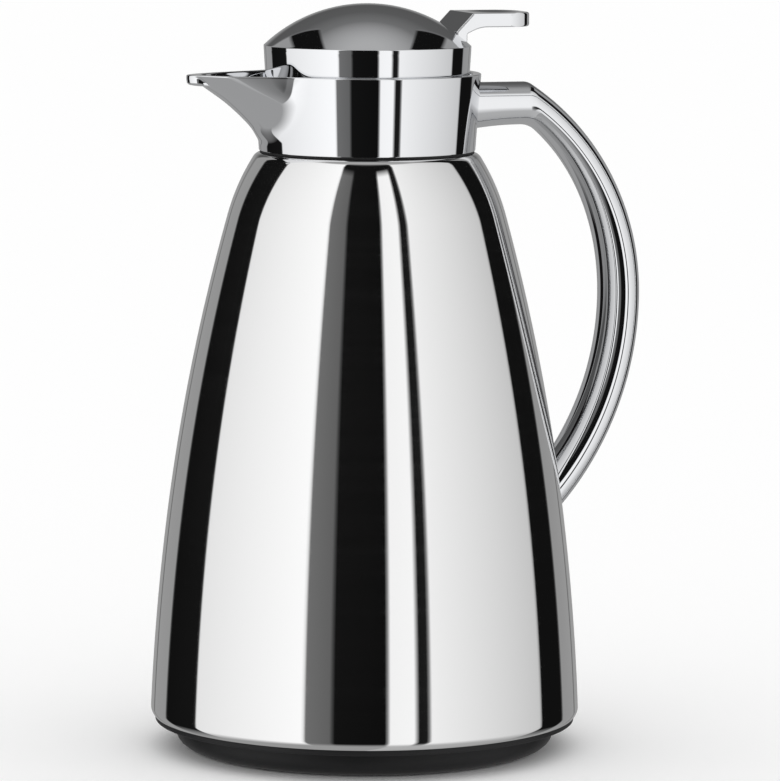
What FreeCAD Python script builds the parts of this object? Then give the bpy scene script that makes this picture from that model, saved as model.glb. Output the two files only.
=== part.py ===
"""Thermal carafe: a polished steel jug with a glass vacuum flask, spout collar, C handle and lever lid.

Frame: origin on the table under the middle of the base, +Z up, spout towards -X, handle towards +X.
Lengths are in millimetres, angles in degrees.
"""
import FreeCAD, Part
import math
import os

V = FreeCAD.Vector
CENTRE = V(0, 0, 0)
UP = V(0, 0, 1)
ACROSS = V(0, 1, 0)
BACK = V(1, 0, 0)
RIGHT_ANGLE = 90.0

# Fits and gaps
RUN_FIT = 0.05          # lever on its pin, valve stem in its guide
PRESS_GAP = 0.01        # pieces pushed together for good
ASSEMBLY_GAP = 0.15     # pieces that are slipped over each other and screwed down
MOVE_GAP = 0.4          # between pieces that pass each other in use
SNAP_GAP = 0.3
BISECTIONS = 40         # halvings of a search, far finer than any gap

# Steel body: a rolled lip, three long arcs and a rounded shoulder edge; tilts lean towards the axis
BODY_WALL = 0.8
BODY_LIP_R = 72.4
BODY_LIP_Z = 11.05
BODY_LIP_ROUND = 4.0
BODY_LIP_TILT = -70.0
BODY_BELLY_Z = 79.0
BODY_BELLY_TILT = 6.9
BODY_WAIST_Z = 187.0
BODY_WAIST_TILT = 15.5
BODY_SHOULDER_Z = 206.9
BODY_SHOULDER_TILT = 32.0
BODY_EDGE_ROUND = 3.5
BODY_TOP_R = 36.6

# Base and foot
BASE_SOLE_IN = 10.4
BASE_SOLE_LIFT = 0.5
BASE_STEP_IN = 6.1
BASE_STEP_Z = 3.8
BASE_STEP = 0.6
BASE_WALL = 2.5
BASE_FLOOR = 3.2
BASE_PLUG_HEIGHT = 7.5
BASE_BEAD = 1.1
BASE_BEAD_LIFT = 2.8
PAD_MARGIN = 7.0
PAD_THICK = 2.2

# Vacuum flask
GLASS_WALL = 1.6
VACUUM_GAP = 4.0
FLASK_BODY_GAP = 4.4
FLASK_NECK_R = 25.2
FLASK_SHOULDER_Z = 122.0
FLASK_SHOULDER_TILT = 60.0
FLASK_CORNER = 25.0
CUSHION_HEIGHT = 17.0
CUSHION_R = 31.0
CUSHION_HOLE_R = 16.0
MOUTH_R = 20.0
NECK_SEAL_THICK = 2.0

# Neck insert and its quick thread
INSERT_BORE_R = 24.0
INSERT_WALL = 4.0
INSERT_FLANGE_R = 34.0
INSERT_FLANGE_THICK = 4.0
THREAD_LEAD = 36.0
THREAD_STARTS = 3
THREAD_REACH = 1.8
THREAD_HEIGHT = 3.0
THREAD_LUG_ANGLE = 24.0
THREAD_LIFT = 1.5
THREAD_SIDE_GAP = 0.3

# Spout collar
GASKET_THICK = 1.0
COLLAR_FOOT_R = 37.6
COLLAR_RIM_R = 39.5
COLLAR_HEIGHT = 26.5
COLLAR_WALL = 2.9
COLLAR_FLOOR = 3.0
SPOUT_WALL = 1.8
SPOUT_FLOOR = 2.2
SPOUT_ROOT_X = 33.0
# Level below the rim, reach from the axis, half width at the tip, half width at the root
SPOUT_LEVELS = [
    (22.5, 38.9, 3.0, 6.0),
    (18.0, 42.3, 3.5, 10.0),
    (14.0, 46.3, 4.0, 13.5),
    (9.5, 51.3, 4.2, 16.5),
    (4.5, 58.8, 4.5, 18.8),
    (3.4, 64.0, 4.7, 19.3),
    (0.0, 65.0, 5.0, 20.0),
]

# Handle: a level arm, a bend, and two long arcs that meet at the belly
HANDLE_HALF_DEPTH = 7.5
HANDLE_HALF_WIDTH = 10.0
HANDLE_WALL = 2.2
HANDLE_SEAM = 3.2
HANDLE_ARM_DROP = 11.3
HANDLE_ARM_LENGTH = 13.8
HANDLE_BEND_R = 10.0
HANDLE_BELLY_Z = 157.0
HANDLE_UPPER_R = 82.0
HANDLE_LOWER_R = 105.5
PAD_BACK_X = 41.2
STUB_LENGTH = 11.0
HANDLE_SCREW_R = 1.5
HANDLE_SCREW_HEAD_R = 3.0
HANDLE_SCREW_HEAD = 1.1
ANCHOR_LENGTH = 30.0
ANCHOR_SCREW_R = 1.75
ANCHOR_SCREW_HEAD_R = 3.6
ANCHOR_SCREW_HEAD = 2.4
ANCHOR_SCREW_SPACING = 8.0
ANCHOR_SCREW_GRIP = 3.6
ANCHOR_PLATE_THICK = 2.0
ANCHOR_PLATE_HALF = 9.0

# Lid and stopper
LID_TUCK = 5.0
LID_SKIRT_R = 35.2
LID_CREASE_R = 36.05
LID_CREASE_LIFT = 9.5
LID_DOME_RISE = 14.5
LID_WALL = 2.0
LID_BOSSES = 3
LID_BOSS_ANGLE = 60.0
LID_BOSS_R = 3.2
LID_BOSS_CIRCLE = 27.0
LID_SCREW_R = 1.2
LID_SCREW_HEAD_R = 2.6
LID_SCREW_HEAD = 1.8
LID_SCREW_LENGTH = 8.0
STOPPER_WALL = 2.2
STOPPER_LIFT = 0.3
STOPPER_FLOOR = 2.0
STOPPER_FLANGE_R = 29.5
STOPPER_FLANGE_THICK = 2.0
STOPPER_DECK = 2.5
STOPPER_WINDOWS = 6
STOPPER_POST_ANGLE = 18.0
STOPPER_WINDOW_MARGIN = 1.5
STOPPER_GASKET_THICK = 2.0
STOPPER_GASKET_R = 29.0

# Valve
ORIFICE_R = 10.0
VALVE_R = 13.0
VALVE_THICK = 2.5
VALVE_SEAL_THICK = 1.2
VALVE_SPIGOT_R = 5.0
STEM_R = 3.5
STEM_ABOVE_CLIP = 4.0
GUIDE_WALL = 2.8
GUIDE_LENGTH = 7.0
CLIP_R = 8.0
CLIP_THICK = 1.4
CLIP_GROOVE = 0.6
CLIP_MOUTH = 4.6
SPRING_R = 8.6
SPRING_WIRE_R = 0.6
SPRING_TURNS = 6
SPRING_END_GAP = 0.1

# Thumb lever
PIVOT_X = 29.0
PIVOT_BELOW_CREASE = 4.0
PIN_R = 1.5
EAR_R = 3.0
EAR_THICK = 2.4
HUB_R = 3.2
HUB_HALF = 6.6
EAR_SIDE_GAP = 0.2
LEVER_HALF_WIDTH = 13.0
LEVER_TAB_TOP = 15.3
LEVER_TAB_THICK = 4.9
LEVER_TAB_END_X = 57.5
LEVER_TAB_CORNER = 8.0
LEVER_FRONT_TOP_X = 34.3
LEVER_FRONT_ROOT_X = 28.2
LEVER_FRONT_ROOT_LIFT = 8.9
LEVER_HEEL_LIFT = 3.9
LEVER_NECK_LIFT = 8.2
LEVER_UNDERSIDE_X = 37.0
LEVER_DISH_R = 60.0
LEVER_DISH_DEPTH = 0.9
FORK_ARM = 3.0
FORK_NOSE_R = 2.4
FORK_NOSE_DROP = 1.15
FORK_LIFT_GAP = 0.25
FORK_TIP = 3.0
FORK_BRIDGE_X = 13.0
NOTCH_DROP = 1.2

# Levels and places that follow from the sizes above
SEAM_Z = BODY_SHOULDER_Z + BODY_EDGE_ROUND * (1 - math.sin(math.radians(BODY_SHOULDER_TILT)))
COLLAR_Z = SEAM_Z + GASKET_THICK
RIM_Z = COLLAR_Z + COLLAR_HEIGHT
COLLAR_FLOOR_Z = COLLAR_Z + COLLAR_FLOOR
INSERT_Z = SEAM_Z - BODY_WALL - INSERT_FLANGE_THICK
INSERT_OUTER_R = INSERT_BORE_R + INSERT_WALL
MOUTH_Z = INSERT_Z - NECK_SEAL_THICK
BASE_SOLE_R = BODY_LIP_R - BASE_SOLE_IN
PAD_R = BASE_SOLE_R - PAD_MARGIN
BASE_FLOOR_Z = PAD_THICK + BASE_FLOOR
FLASK_Z = BASE_FLOOR_Z + CUSHION_HEIGHT
ARM_Z = RIM_Z - HANDLE_ARM_DROP
HANDLE_BEND_X = PAD_BACK_X + HANDLE_ARM_LENGTH
HANDLE_BEND_Z = ARM_Z - HANDLE_BEND_R
HANDLE_BEND_RUN = math.sqrt((HANDLE_UPPER_R - HANDLE_BEND_R) ** 2 - (HANDLE_BEND_Z - HANDLE_BELLY_Z) ** 2)
HANDLE_UPPER_X = HANDLE_BEND_X - HANDLE_BEND_RUN
HANDLE_BELLY_X = HANDLE_UPPER_X + HANDLE_UPPER_R
HANDLE_LOWER_X = HANDLE_BELLY_X - HANDLE_LOWER_R
LID_Z = RIM_Z - LID_TUCK
CREASE_Z = RIM_Z + LID_CREASE_LIFT
DOME_R = (LID_CREASE_R ** 2 + LID_DOME_RISE ** 2) / (2 * LID_DOME_RISE)
DOME_CENTRE_Z = CREASE_Z + LID_DOME_RISE - DOME_R
DECK_TOP_Z = LID_Z + STOPPER_DECK
STOPPER_R = INSERT_BORE_R - MOVE_GAP
STOPPER_Z = INSERT_Z + STOPPER_LIFT
SEAT_Z = STOPPER_Z + STOPPER_FLOOR
LEDGE_Z = COLLAR_FLOOR_Z + STOPPER_GASKET_THICK
VALVE_Z = SEAT_Z + VALVE_SEAL_THICK
VALVE_TOP_Z = VALVE_Z + VALVE_THICK
PIVOT_Z = CREASE_Z - PIVOT_BELOW_CREASE
NOSE_TOP_Z = PIVOT_Z - FORK_NOSE_DROP
CLIP_Z = NOSE_TOP_Z + FORK_LIFT_GAP
PIN_HALF = HUB_HALF + EAR_SIDE_GAP + EAR_THICK


def lathe(points):
    """Solid of revolution about Z from a closed outline of (radius, height) points."""
    outline = [V(r, 0, z) for r, z in points]
    face = Part.Face(Part.makePolygon(outline + outline[:1]))
    return face.revolve(CENTRE, UP, 360)


def tube(inner_r, outer_r, low, high):
    return lathe([(inner_r, low), (outer_r, low), (outer_r, high), (inner_r, high)])


def disc(radius, low, high):
    return Part.makeCylinder(radius, high - low, V(0, 0, low))


def block(x, y, z):
    """Box from the low and high limits along each axis."""
    return Part.makeBox(x[1] - x[0], y[1] - y[0], z[1] - z[0], V(x[0], y[0], z[0]))


def turned(shape, angle):
    """Copy of a shape turned about the carafe's axis."""
    copy = shape.copy()
    copy.rotate(CENTRE, UP, angle)
    return copy


def joined(shapes):
    return shapes[0].multiFuse(shapes[1:]).removeSplitter()


def body_arcs():
    """Arcs of the steel outline, from the lip to the shoulder: centre, radius, start tilt, end tilt.

    The upper arcs hang from the top edge, and the foot's arc runs on from the belly to touch the lip's roll.
    """
    arcs = []
    r, z, tilt = BODY_TOP_R, SEAM_Z, math.radians(RIGHT_ANGLE)
    spans = [
        (BODY_SHOULDER_Z, BODY_SHOULDER_TILT),
        (BODY_WAIST_Z, BODY_WAIST_TILT),
        (BODY_BELLY_Z, BODY_BELLY_TILT),
    ]
    for low_z, low_tilt in spans:
        low = math.radians(low_tilt)
        radius = (z - low_z) / (math.sin(tilt) - math.sin(low))
        centre_r = r - radius * math.cos(tilt)
        centre_z = z - radius * math.sin(tilt)
        arcs.append((centre_r, centre_z, radius, low, tilt))
        r, z, tilt = centre_r + radius * math.cos(low), low_z, low
    lip_tilt = math.radians(BODY_LIP_TILT)
    roll_r = BODY_LIP_R - BODY_LIP_ROUND * math.cos(lip_tilt)
    roll_z = BODY_LIP_Z - BODY_LIP_ROUND * math.sin(lip_tilt)
    slope = (r - roll_r) * math.cos(tilt) + (z - roll_z) * math.sin(tilt)
    radius = ((r - roll_r) ** 2 + (z - roll_z) ** 2 - BODY_LIP_ROUND ** 2) / (2 * (slope - BODY_LIP_ROUND))
    centre_r = r - radius * math.cos(tilt)
    centre_z = z - radius * math.sin(tilt)
    reach = radius - BODY_LIP_ROUND
    foot_tilt = math.atan2((roll_z - centre_z) / reach, (roll_r - centre_r) / reach)
    arcs.append((centre_r, centre_z, radius, foot_tilt, tilt))
    arcs.append((roll_r, roll_z, BODY_LIP_ROUND, lip_tilt, foot_tilt))
    return arcs[::-1]


def body_edges(inset):
    """Edges of the steel outline, moved in towards the axis by the inset."""
    edges = []
    for centre_r, centre_z, radius, start, end in body_arcs():
        reach = radius - inset
        points = []
        for tilt in (start, (start + end) / 2, end):
            points.append(V(centre_r + reach * math.cos(tilt), 0, centre_z + reach * math.sin(tilt)))
        edges.append(Part.Arc(*points).toShape())
    return edges


def body_radius(height, inset=0.0):
    """Radius of the steel outline at a height, moved in by the inset."""
    for centre_r, centre_z, radius, start, end in body_arcs():
        sine = (height - centre_z) / (radius - inset)
        low, high = sorted((math.sin(start), math.sin(end)))
        if low <= sine <= high:
            return centre_r + (radius - inset) * math.sqrt(1 - sine ** 2)
    raise ValueError("height is outside the steel body")


def body_plug(inset):
    """Everything inside the steel outline, moved in by the inset, as one solid."""
    edges = body_edges(inset)
    foot = edges[0].Vertexes[0].Point
    top = edges[-1].Vertexes[-1].Point
    corners = [top, V(0, 0, top.z), V(0, 0, foot.z), foot]
    lines = [Part.makeLine(a, b) for a, b in zip(corners, corners[1:])]
    face = Part.Face(Part.Wire(edges + lines))
    return face.revolve(CENTRE, UP, 360)


def handle_meeting(offset, depth):
    """Height at which a line of the handle's lower arc, moved out by the offset, is that deep in the steel body."""
    radius = HANDLE_LOWER_R + offset
    low = max(BODY_LIP_Z + BODY_LIP_ROUND, HANDLE_BELLY_Z - radius)
    high = HANDLE_BELLY_Z
    for _ in range(BISECTIONS):
        middle = (low + high) / 2
        reach = HANDLE_LOWER_X + math.sqrt(radius ** 2 - (HANDLE_BELLY_Z - middle) ** 2)
        if reach > body_radius(middle) - depth:
            high = middle
        else:
            low = middle
    return low


def anchor_screw_height():
    """Height at which the handle's lower centre line meets the steel body."""
    return handle_meeting(0, 0)


def lower_turn(height, offset):
    """Turn round the handle's lower arc, from straight up, at which a line of it is at a height."""
    return RIGHT_ANGLE + math.degrees(math.asin((HANDLE_BELLY_Z - height) / (HANDLE_LOWER_R + offset)))


def handle_end_turn():
    """Turn at which even the handle's outer edge is well inside the steel body."""
    return lower_turn(handle_meeting(HANDLE_HALF_DEPTH, HANDLE_HALF_DEPTH), HANDLE_HALF_DEPTH)


def along_x(radius, x0, x1, y, z):
    return Part.makeCylinder(radius, x1 - x0, V(x0, y, z), BACK)


def anchor_screw_holes(radius):
    """Rods for the holes of the two lower handle screws."""
    z = anchor_screw_height()
    rods = []
    for side in (-1, 1):
        y = side * ANCHOR_SCREW_SPACING / 2
        rods.append(along_x(radius, 0, HANDLE_BELLY_X, y, z))
    return rods


def body_shell():
    edges = body_edges(0.0)
    inner = body_edges(BODY_WALL)
    top = edges[-1].Vertexes[-1].Point
    inner_top = inner[-1].Vertexes[-1].Point
    hole_r = INSERT_OUTER_R + MOVE_GAP
    corners = [top, V(hole_r, 0, top.z), V(hole_r, 0, inner_top.z), inner_top]
    lines = [Part.makeLine(a, b) for a, b in zip(corners, corners[1:])]
    closing = Part.makeLine(inner[0].Vertexes[0].Point, edges[0].Vertexes[0].Point)
    face = Part.Face(Part.Wire(edges + lines + inner[::-1] + [closing]))
    shell = face.revolve(CENTRE, UP, 360)
    return shell.cut(anchor_screw_holes(ANCHOR_SCREW_R + ASSEMBLY_GAP))


def base_cap():
    """Black base: sole, step, sloping flank, and a plug whose bead snaps in over the steel lip."""
    lip_inside = body_edges(BODY_WALL)[0].Vertexes[0].Point
    plug_r = lip_inside.x - SNAP_GAP
    flange_z = BODY_LIP_Z - ASSEMBLY_GAP
    step_r = BODY_LIP_R - BASE_STEP_IN
    bead_z = lip_inside.z + BASE_BEAD_LIFT - BASE_BEAD
    plug_top = flange_z + BASE_PLUG_HEIGHT
    sole_mid = (BASE_SOLE_R + (step_r - BASE_SOLE_R) * math.sin(math.pi / 4),
                BASE_STEP_Z - (BASE_STEP_Z - BASE_SOLE_LIFT) * math.cos(math.pi / 4))
    outline = [
        (0, PAD_THICK),
        (PAD_R + SNAP_GAP, PAD_THICK),
        (PAD_R + SNAP_GAP, BASE_SOLE_LIFT),
        (BASE_SOLE_R, BASE_SOLE_LIFT),
        sole_mid,
        (step_r, BASE_STEP_Z),
        (step_r + BASE_STEP, BASE_STEP_Z + BASE_STEP),
        (BODY_LIP_R, flange_z),
        (plug_r, flange_z),
        (plug_r, bead_z - BASE_BEAD),
        (plug_r + BASE_BEAD, bead_z),
        (plug_r, bead_z + BASE_BEAD),
        (plug_r, plug_top),
        (plug_r - BASE_WALL, plug_top),
        (plug_r - BASE_WALL, BASE_FLOOR_Z),
        (0, BASE_FLOOR_Z),
    ]
    return lathe(outline)


def foot_pad():
    return disc(PAD_R, 0, PAD_THICK)


def liner_cushion():
    return tube(CUSHION_HOLE_R, CUSHION_R, BASE_FLOOR_Z, FLASK_Z)


def bottle_edges(radius, neck_r, floor_z, top_z, corner):
    """Outline of a bottle from its floor to the top of its neck: corner, wall, S shaped shoulder, neck."""
    tilt = math.radians(FLASK_SHOULDER_TILT)
    bend = (radius - neck_r) / (2 * (1 - math.cos(tilt)))
    half = tilt / 2
    low_z = FLASK_SHOULDER_Z
    mid = V(radius - bend * (1 - math.cos(tilt)), 0, low_z + bend * math.sin(tilt))
    high_z = low_z + 2 * bend * math.sin(tilt)
    diagonal = corner * math.sqrt(0.5)
    floor_end = V(radius - corner, 0, floor_z)
    corner_mid = V(radius - corner + diagonal, 0, floor_z + corner - diagonal)
    wall_start = V(radius, 0, floor_z + corner)
    wall_end = V(radius, 0, low_z)
    lower_mid = V(radius - bend * (1 - math.cos(half)), 0, low_z + bend * math.sin(half))
    upper_mid = V(neck_r + bend * (1 - math.cos(half)), 0, high_z - bend * math.sin(half))
    neck_start = V(neck_r, 0, high_z)
    return [
        Part.makeLine(V(0, 0, floor_z), floor_end),
        Part.Arc(floor_end, corner_mid, wall_start).toShape(),
        Part.makeLine(wall_start, wall_end),
        Part.Arc(wall_end, lower_mid, mid).toShape(),
        Part.Arc(mid, upper_mid, neck_start).toShape(),
        Part.makeLine(neck_start, V(neck_r, 0, top_z)),
    ]


def bottle(radius, neck_r, floor_z, top_z, corner):
    """Filled bottle of revolution."""
    edges = bottle_edges(radius, neck_r, floor_z, top_z, corner)
    lines = [Part.makeLine(V(neck_r, 0, top_z), V(0, 0, top_z)), Part.makeLine(V(0, 0, top_z), V(0, 0, floor_z))]
    return Part.Face(Part.Wire(edges + lines)).revolve(CENTRE, UP, 360)


def flask_radius():
    """Radius of the flask, which is widest where its wall ends below the shoulder."""
    return body_radius(FLASK_SHOULDER_Z, BODY_WALL) - FLASK_BODY_GAP


def outer_flask():
    radius = flask_radius()
    top = MOUTH_Z - GLASS_WALL
    outside = bottle(radius, FLASK_NECK_R, FLASK_Z, top, FLASK_CORNER)
    inside = bottle(radius - GLASS_WALL, FLASK_NECK_R - GLASS_WALL, FLASK_Z + GLASS_WALL, top,
                    FLASK_CORNER - GLASS_WALL)
    return outside.cut(inside)


def inner_flask():
    step = GLASS_WALL + VACUUM_GAP
    outside = bottle(flask_radius() - step, MOUTH_R + GLASS_WALL, FLASK_Z + step, MOUTH_Z, FLASK_CORNER - step)
    step += GLASS_WALL
    inside = bottle(flask_radius() - step, MOUTH_R, FLASK_Z + step, MOUTH_Z, FLASK_CORNER - step)
    print("flask is %.1f mm across" % (2 * flask_radius()))
    lip = disc(FLASK_NECK_R, MOUTH_Z - GLASS_WALL, MOUTH_Z)
    print("flask holds %.2f litres" % (inside.Volume / 1e6))
    return joined([outside, lip]).cut(inside)


def neck_seal():
    return tube(MOUTH_R, FLASK_NECK_R, MOUTH_Z, INSERT_Z)


def helical_bar(inner_r, outer_r, height, low_z, start_angle, span_angle):
    """Bar of rectangular section that climbs round the axis with the thread's lead."""
    high_z = low_z + height
    corners = [V(inner_r, 0, low_z), V(outer_r, 0, low_z), V(outer_r, 0, high_z), V(inner_r, 0, high_z)]
    section = Part.makePolygon(corners + corners[:1])
    path = Part.makeHelix(THREAD_LEAD, THREAD_LEAD * span_angle / 360, inner_r)
    path.translate(V(0, 0, low_z))
    bar = Part.Wire(path.Edges).makePipeShell([section], True, True)
    return turned(bar, start_angle)


def thread_bars(grow, lead_in, run_out):
    """The thread's bars: lugs as they are, or grooves that are grown by a clearance and run out upwards."""
    bars = []
    low = INSERT_Z + THREAD_LIFT - grow - THREAD_LEAD * lead_in / 360
    span = lead_in + THREAD_LUG_ANGLE + run_out
    inner_r = STOPPER_R - STOPPER_WALL / 2
    for start in range(THREAD_STARTS):
        angle = start * 360 / THREAD_STARTS - lead_in
        bars.append(helical_bar(inner_r, STOPPER_R + THREAD_REACH + grow, THREAD_HEIGHT + 2 * grow, low, angle, span))
    return bars


def neck_insert():
    """Black threaded sleeve: its flange holds the steel shoulder up against the collar."""
    flange_top = INSERT_Z + INSERT_FLANGE_THICK
    sleeve = lathe([
        (INSERT_BORE_R, INSERT_Z),
        (INSERT_FLANGE_R, INSERT_Z),
        (INSERT_FLANGE_R, flange_top),
        (INSERT_OUTER_R, flange_top),
        (INSERT_OUTER_R, COLLAR_FLOOR_Z),
        (INSERT_BORE_R, COLLAR_FLOOR_Z),
    ])
    climb = COLLAR_FLOOR_Z - INSERT_Z - THREAD_LIFT + 2 * THREAD_SIDE_GAP
    run_out = 360 * climb / THREAD_LEAD
    lead_in = math.degrees(THREAD_SIDE_GAP / STOPPER_R)
    return sleeve.cut(thread_bars(THREAD_SIDE_GAP, lead_in, run_out))


def shoulder_gasket():
    return tube(INSERT_OUTER_R + MOVE_GAP, COLLAR_FOOT_R - SNAP_GAP, SEAM_Z, COLLAR_Z)


def spout_solid(levels, root_x):
    """Beak lofted through level sections: straight flanks from the root to a rounded tip."""
    wires = []
    for drop, reach, half_tip, half_root in levels:
        z = RIM_Z - drop
        left = V(-root_x, half_root, z)
        right = V(-root_x, -half_root, z)
        tip_left = V(-(reach - half_tip), half_tip, z)
        tip_right = V(-(reach - half_tip), -half_tip, z)
        edges = [
            Part.makeLine(left, tip_left),
            Part.Arc(tip_left, V(-reach, 0, z), tip_right).toShape(),
            Part.makeLine(tip_right, right),
            Part.makeLine(right, left),
        ]
        wires.append(Part.Wire(edges))
    return Part.makeLoft(wires, True, True)


def spout_channel():
    """Space inside the spout, open to the collar's inside and at the top."""
    levels = []
    for drop, reach, half_tip, half_root in SPOUT_LEVELS[:-1]:
        levels.append((drop - SPOUT_FLOOR, reach - SPOUT_WALL / 2, half_tip - SPOUT_WALL, half_root - SPOUT_WALL))
    drop, reach, half_tip, half_root = SPOUT_LEVELS[-1]
    levels.append((drop - SPOUT_FLOOR, reach - SPOUT_WALL, half_tip - SPOUT_WALL, half_root - SPOUT_WALL))
    return spout_solid(levels, SPOUT_ROOT_X - SPOUT_WALL)


def ellipse_arc(x, z, half_depth, half_width, start, end):
    """Arc of the handle's oval section, square to the level arm; angles count from +Y towards +Z."""
    centre = V(x, 0, z)
    oval = Part.Ellipse(centre + V(0, half_width, 0), centre + V(0, 0, half_depth), centre)
    return Part.ArcOfEllipse(oval, start, end).toShape()


def oval_face(x, z, inset):
    edge = ellipse_arc(x, z, HANDLE_HALF_DEPTH - inset, HANDLE_HALF_WIDTH - inset, 0, 2 * math.pi)
    return Part.Face(Part.Wire([edge]))


def shell_face(x, z, outer_side):
    """Section of one handle shell: the oval wall on one side of the seam."""
    edges = []
    for inset in (0, HANDLE_WALL):
        half_depth = HANDLE_HALF_DEPTH - inset
        start = math.asin(HANDLE_SEAM / half_depth)
        end = math.pi - start
        if not outer_side:
            start, end = end, start + 2 * math.pi
        edges.append(ellipse_arc(x, z, half_depth, HANDLE_HALF_WIDTH - inset, start, end))
    for vertex in (0, 1):
        edges.append(Part.makeLine(edges[0].Vertexes[vertex].Point, edges[1].Vertexes[vertex].Point))
    return Part.Face(Part.Wire(Part.sortEdges(edges)[0]))


def arc_sweep(make_face, centre_x, centre_z, radius, start_turn, end_turn):
    """A section carried round an arc of the handle; turns count from straight up towards the back."""
    centre = V(centre_x, 0, centre_z)
    face = make_face(centre_x, centre_z + radius)
    face.rotate(centre, ACROSS, start_turn)
    return face.revolve(centre, ACROSS, end_turn - start_turn)


def handle_sweep(make_face):
    """A section carried along the whole handle, from the collar's pad into the steel body."""
    start_x = PAD_BACK_X + PRESS_GAP
    bend_turn = math.degrees(math.atan2(HANDLE_BEND_RUN, HANDLE_BEND_Z - HANDLE_BELLY_Z))
    arm = make_face(start_x, ARM_Z).extrude(V(HANDLE_BEND_X - start_x, 0, 0))
    bend = arc_sweep(make_face, HANDLE_BEND_X, HANDLE_BEND_Z, HANDLE_BEND_R, 0, bend_turn)
    upper = arc_sweep(make_face, HANDLE_UPPER_X, HANDLE_BELLY_Z, HANDLE_UPPER_R, bend_turn, RIGHT_ANGLE)
    lower = arc_sweep(make_face, HANDLE_LOWER_X, HANDLE_BELLY_Z, HANDLE_LOWER_R, RIGHT_ANGLE, handle_end_turn())
    return joined([arm, bend, upper, lower]).cut(body_plug(-ASSEMBLY_GAP))


def handle_outer():
    return handle_sweep(lambda x, z: shell_face(x, z, True))


def handle_screw_x():
    return PAD_BACK_X + STUB_LENGTH / 2


def handle_screw_head_z():
    """Height of the screw head's seat inside the lower wall of the arm."""
    return ARM_Z - HANDLE_HALF_DEPTH + HANDLE_SCREW_HEAD


def handle_inner():
    shell = handle_sweep(lambda x, z: shell_face(x, z, False))
    below = ARM_Z - 2 * HANDLE_HALF_DEPTH
    x = handle_screw_x()
    head = Part.makeCylinder(HANDLE_SCREW_HEAD_R + ASSEMBLY_GAP, handle_screw_head_z() - below, V(x, 0, below))
    hole = Part.makeCylinder(HANDLE_SCREW_R + ASSEMBLY_GAP, HANDLE_HALF_DEPTH, V(x, 0, below + HANDLE_HALF_DEPTH / 2))
    return shell.cut([head, hole] + anchor_screw_holes(ANCHOR_SCREW_R + ASSEMBLY_GAP))


def screw_up(radius, head_r, head, length, x, y, seat_z):
    """Screw whose head sits under a seat, with its shank pointing up."""
    shank = Part.makeCylinder(radius, length, V(x, y, seat_z))
    cap = Part.makeCylinder(head_r, head, V(x, y, seat_z - head))
    return joined([shank, cap])


def handle_screw():
    length = ARM_Z - handle_screw_head_z()
    return screw_up(HANDLE_SCREW_R, HANDLE_SCREW_HEAD_R, HANDLE_SCREW_HEAD, length, handle_screw_x(), 0,
                    handle_screw_head_z())


def handle_anchor():
    """Block inside the lower end of the handle that the body's screws bite into."""
    inset = HANDLE_WALL + ASSEMBLY_GAP
    start = lower_turn(anchor_screw_height(), 0) - math.degrees(ANCHOR_LENGTH / HANDLE_LOWER_R)
    core = arc_sweep(lambda x, z: oval_face(x, z, inset), HANDLE_LOWER_X, HANDLE_BELLY_Z, HANDLE_LOWER_R, start,
                     handle_end_turn())
    core = core.cut(body_plug(-ASSEMBLY_GAP))
    return core.cut(anchor_screws_shape(PRESS_GAP))


def anchor_screws_shape(grow):
    """The two lower handle screws, from their heads inside the steel body, grown for the block's holes."""
    z = anchor_screw_height()
    screws = []
    for side in (-1, 1):
        y = side * ANCHOR_SCREW_SPACING / 2
        reach = abs(y) + ANCHOR_SCREW_HEAD_R
        plate_inside = body_radius(z + ANCHOR_SCREW_HEAD_R, BODY_WALL + ANCHOR_PLATE_THICK + PRESS_GAP)
        seat_x = math.sqrt(plate_inside ** 2 - reach ** 2)
        tip_x = body_radius(z) + ANCHOR_SCREW_GRIP
        shank = along_x(ANCHOR_SCREW_R + grow, seat_x, tip_x, y, z)
        head = along_x(ANCHOR_SCREW_HEAD_R + grow, seat_x - ANCHOR_SCREW_HEAD, seat_x, y, z)
        screws.append(joined([shank, head]))
    return Part.makeCompound(screws)


def anchor_screws():
    return anchor_screws_shape(0)


def anchor_plate():
    """Curved washer inside the steel body that spreads the pull of the handle's lower screws."""
    z = anchor_screw_height()
    outside = body_plug(BODY_WALL + PRESS_GAP)
    inside = body_plug(BODY_WALL + PRESS_GAP + ANCHOR_PLATE_THICK)
    window = block((0, HANDLE_BELLY_X), (-ANCHOR_PLATE_HALF, ANCHOR_PLATE_HALF),
                   (z - ANCHOR_PLATE_HALF, z + ANCHOR_PLATE_HALF))
    return outside.cut(inside).common(window).cut(anchor_screw_holes(ANCHOR_SCREW_R + ASSEMBLY_GAP))


def collar_inside():
    """Space inside the collar's wall, above its floor."""
    slope = (COLLAR_RIM_R - COLLAR_FOOT_R) / COLLAR_HEIGHT
    floor_r = COLLAR_FOOT_R - COLLAR_WALL + slope * COLLAR_FLOOR
    above = COLLAR_WALL
    top_r = COLLAR_RIM_R - COLLAR_WALL + slope * above
    return lathe([(0, COLLAR_FLOOR_Z), (floor_r, COLLAR_FLOOR_Z), (top_r, RIM_Z + above), (0, RIM_Z + above)])


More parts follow.
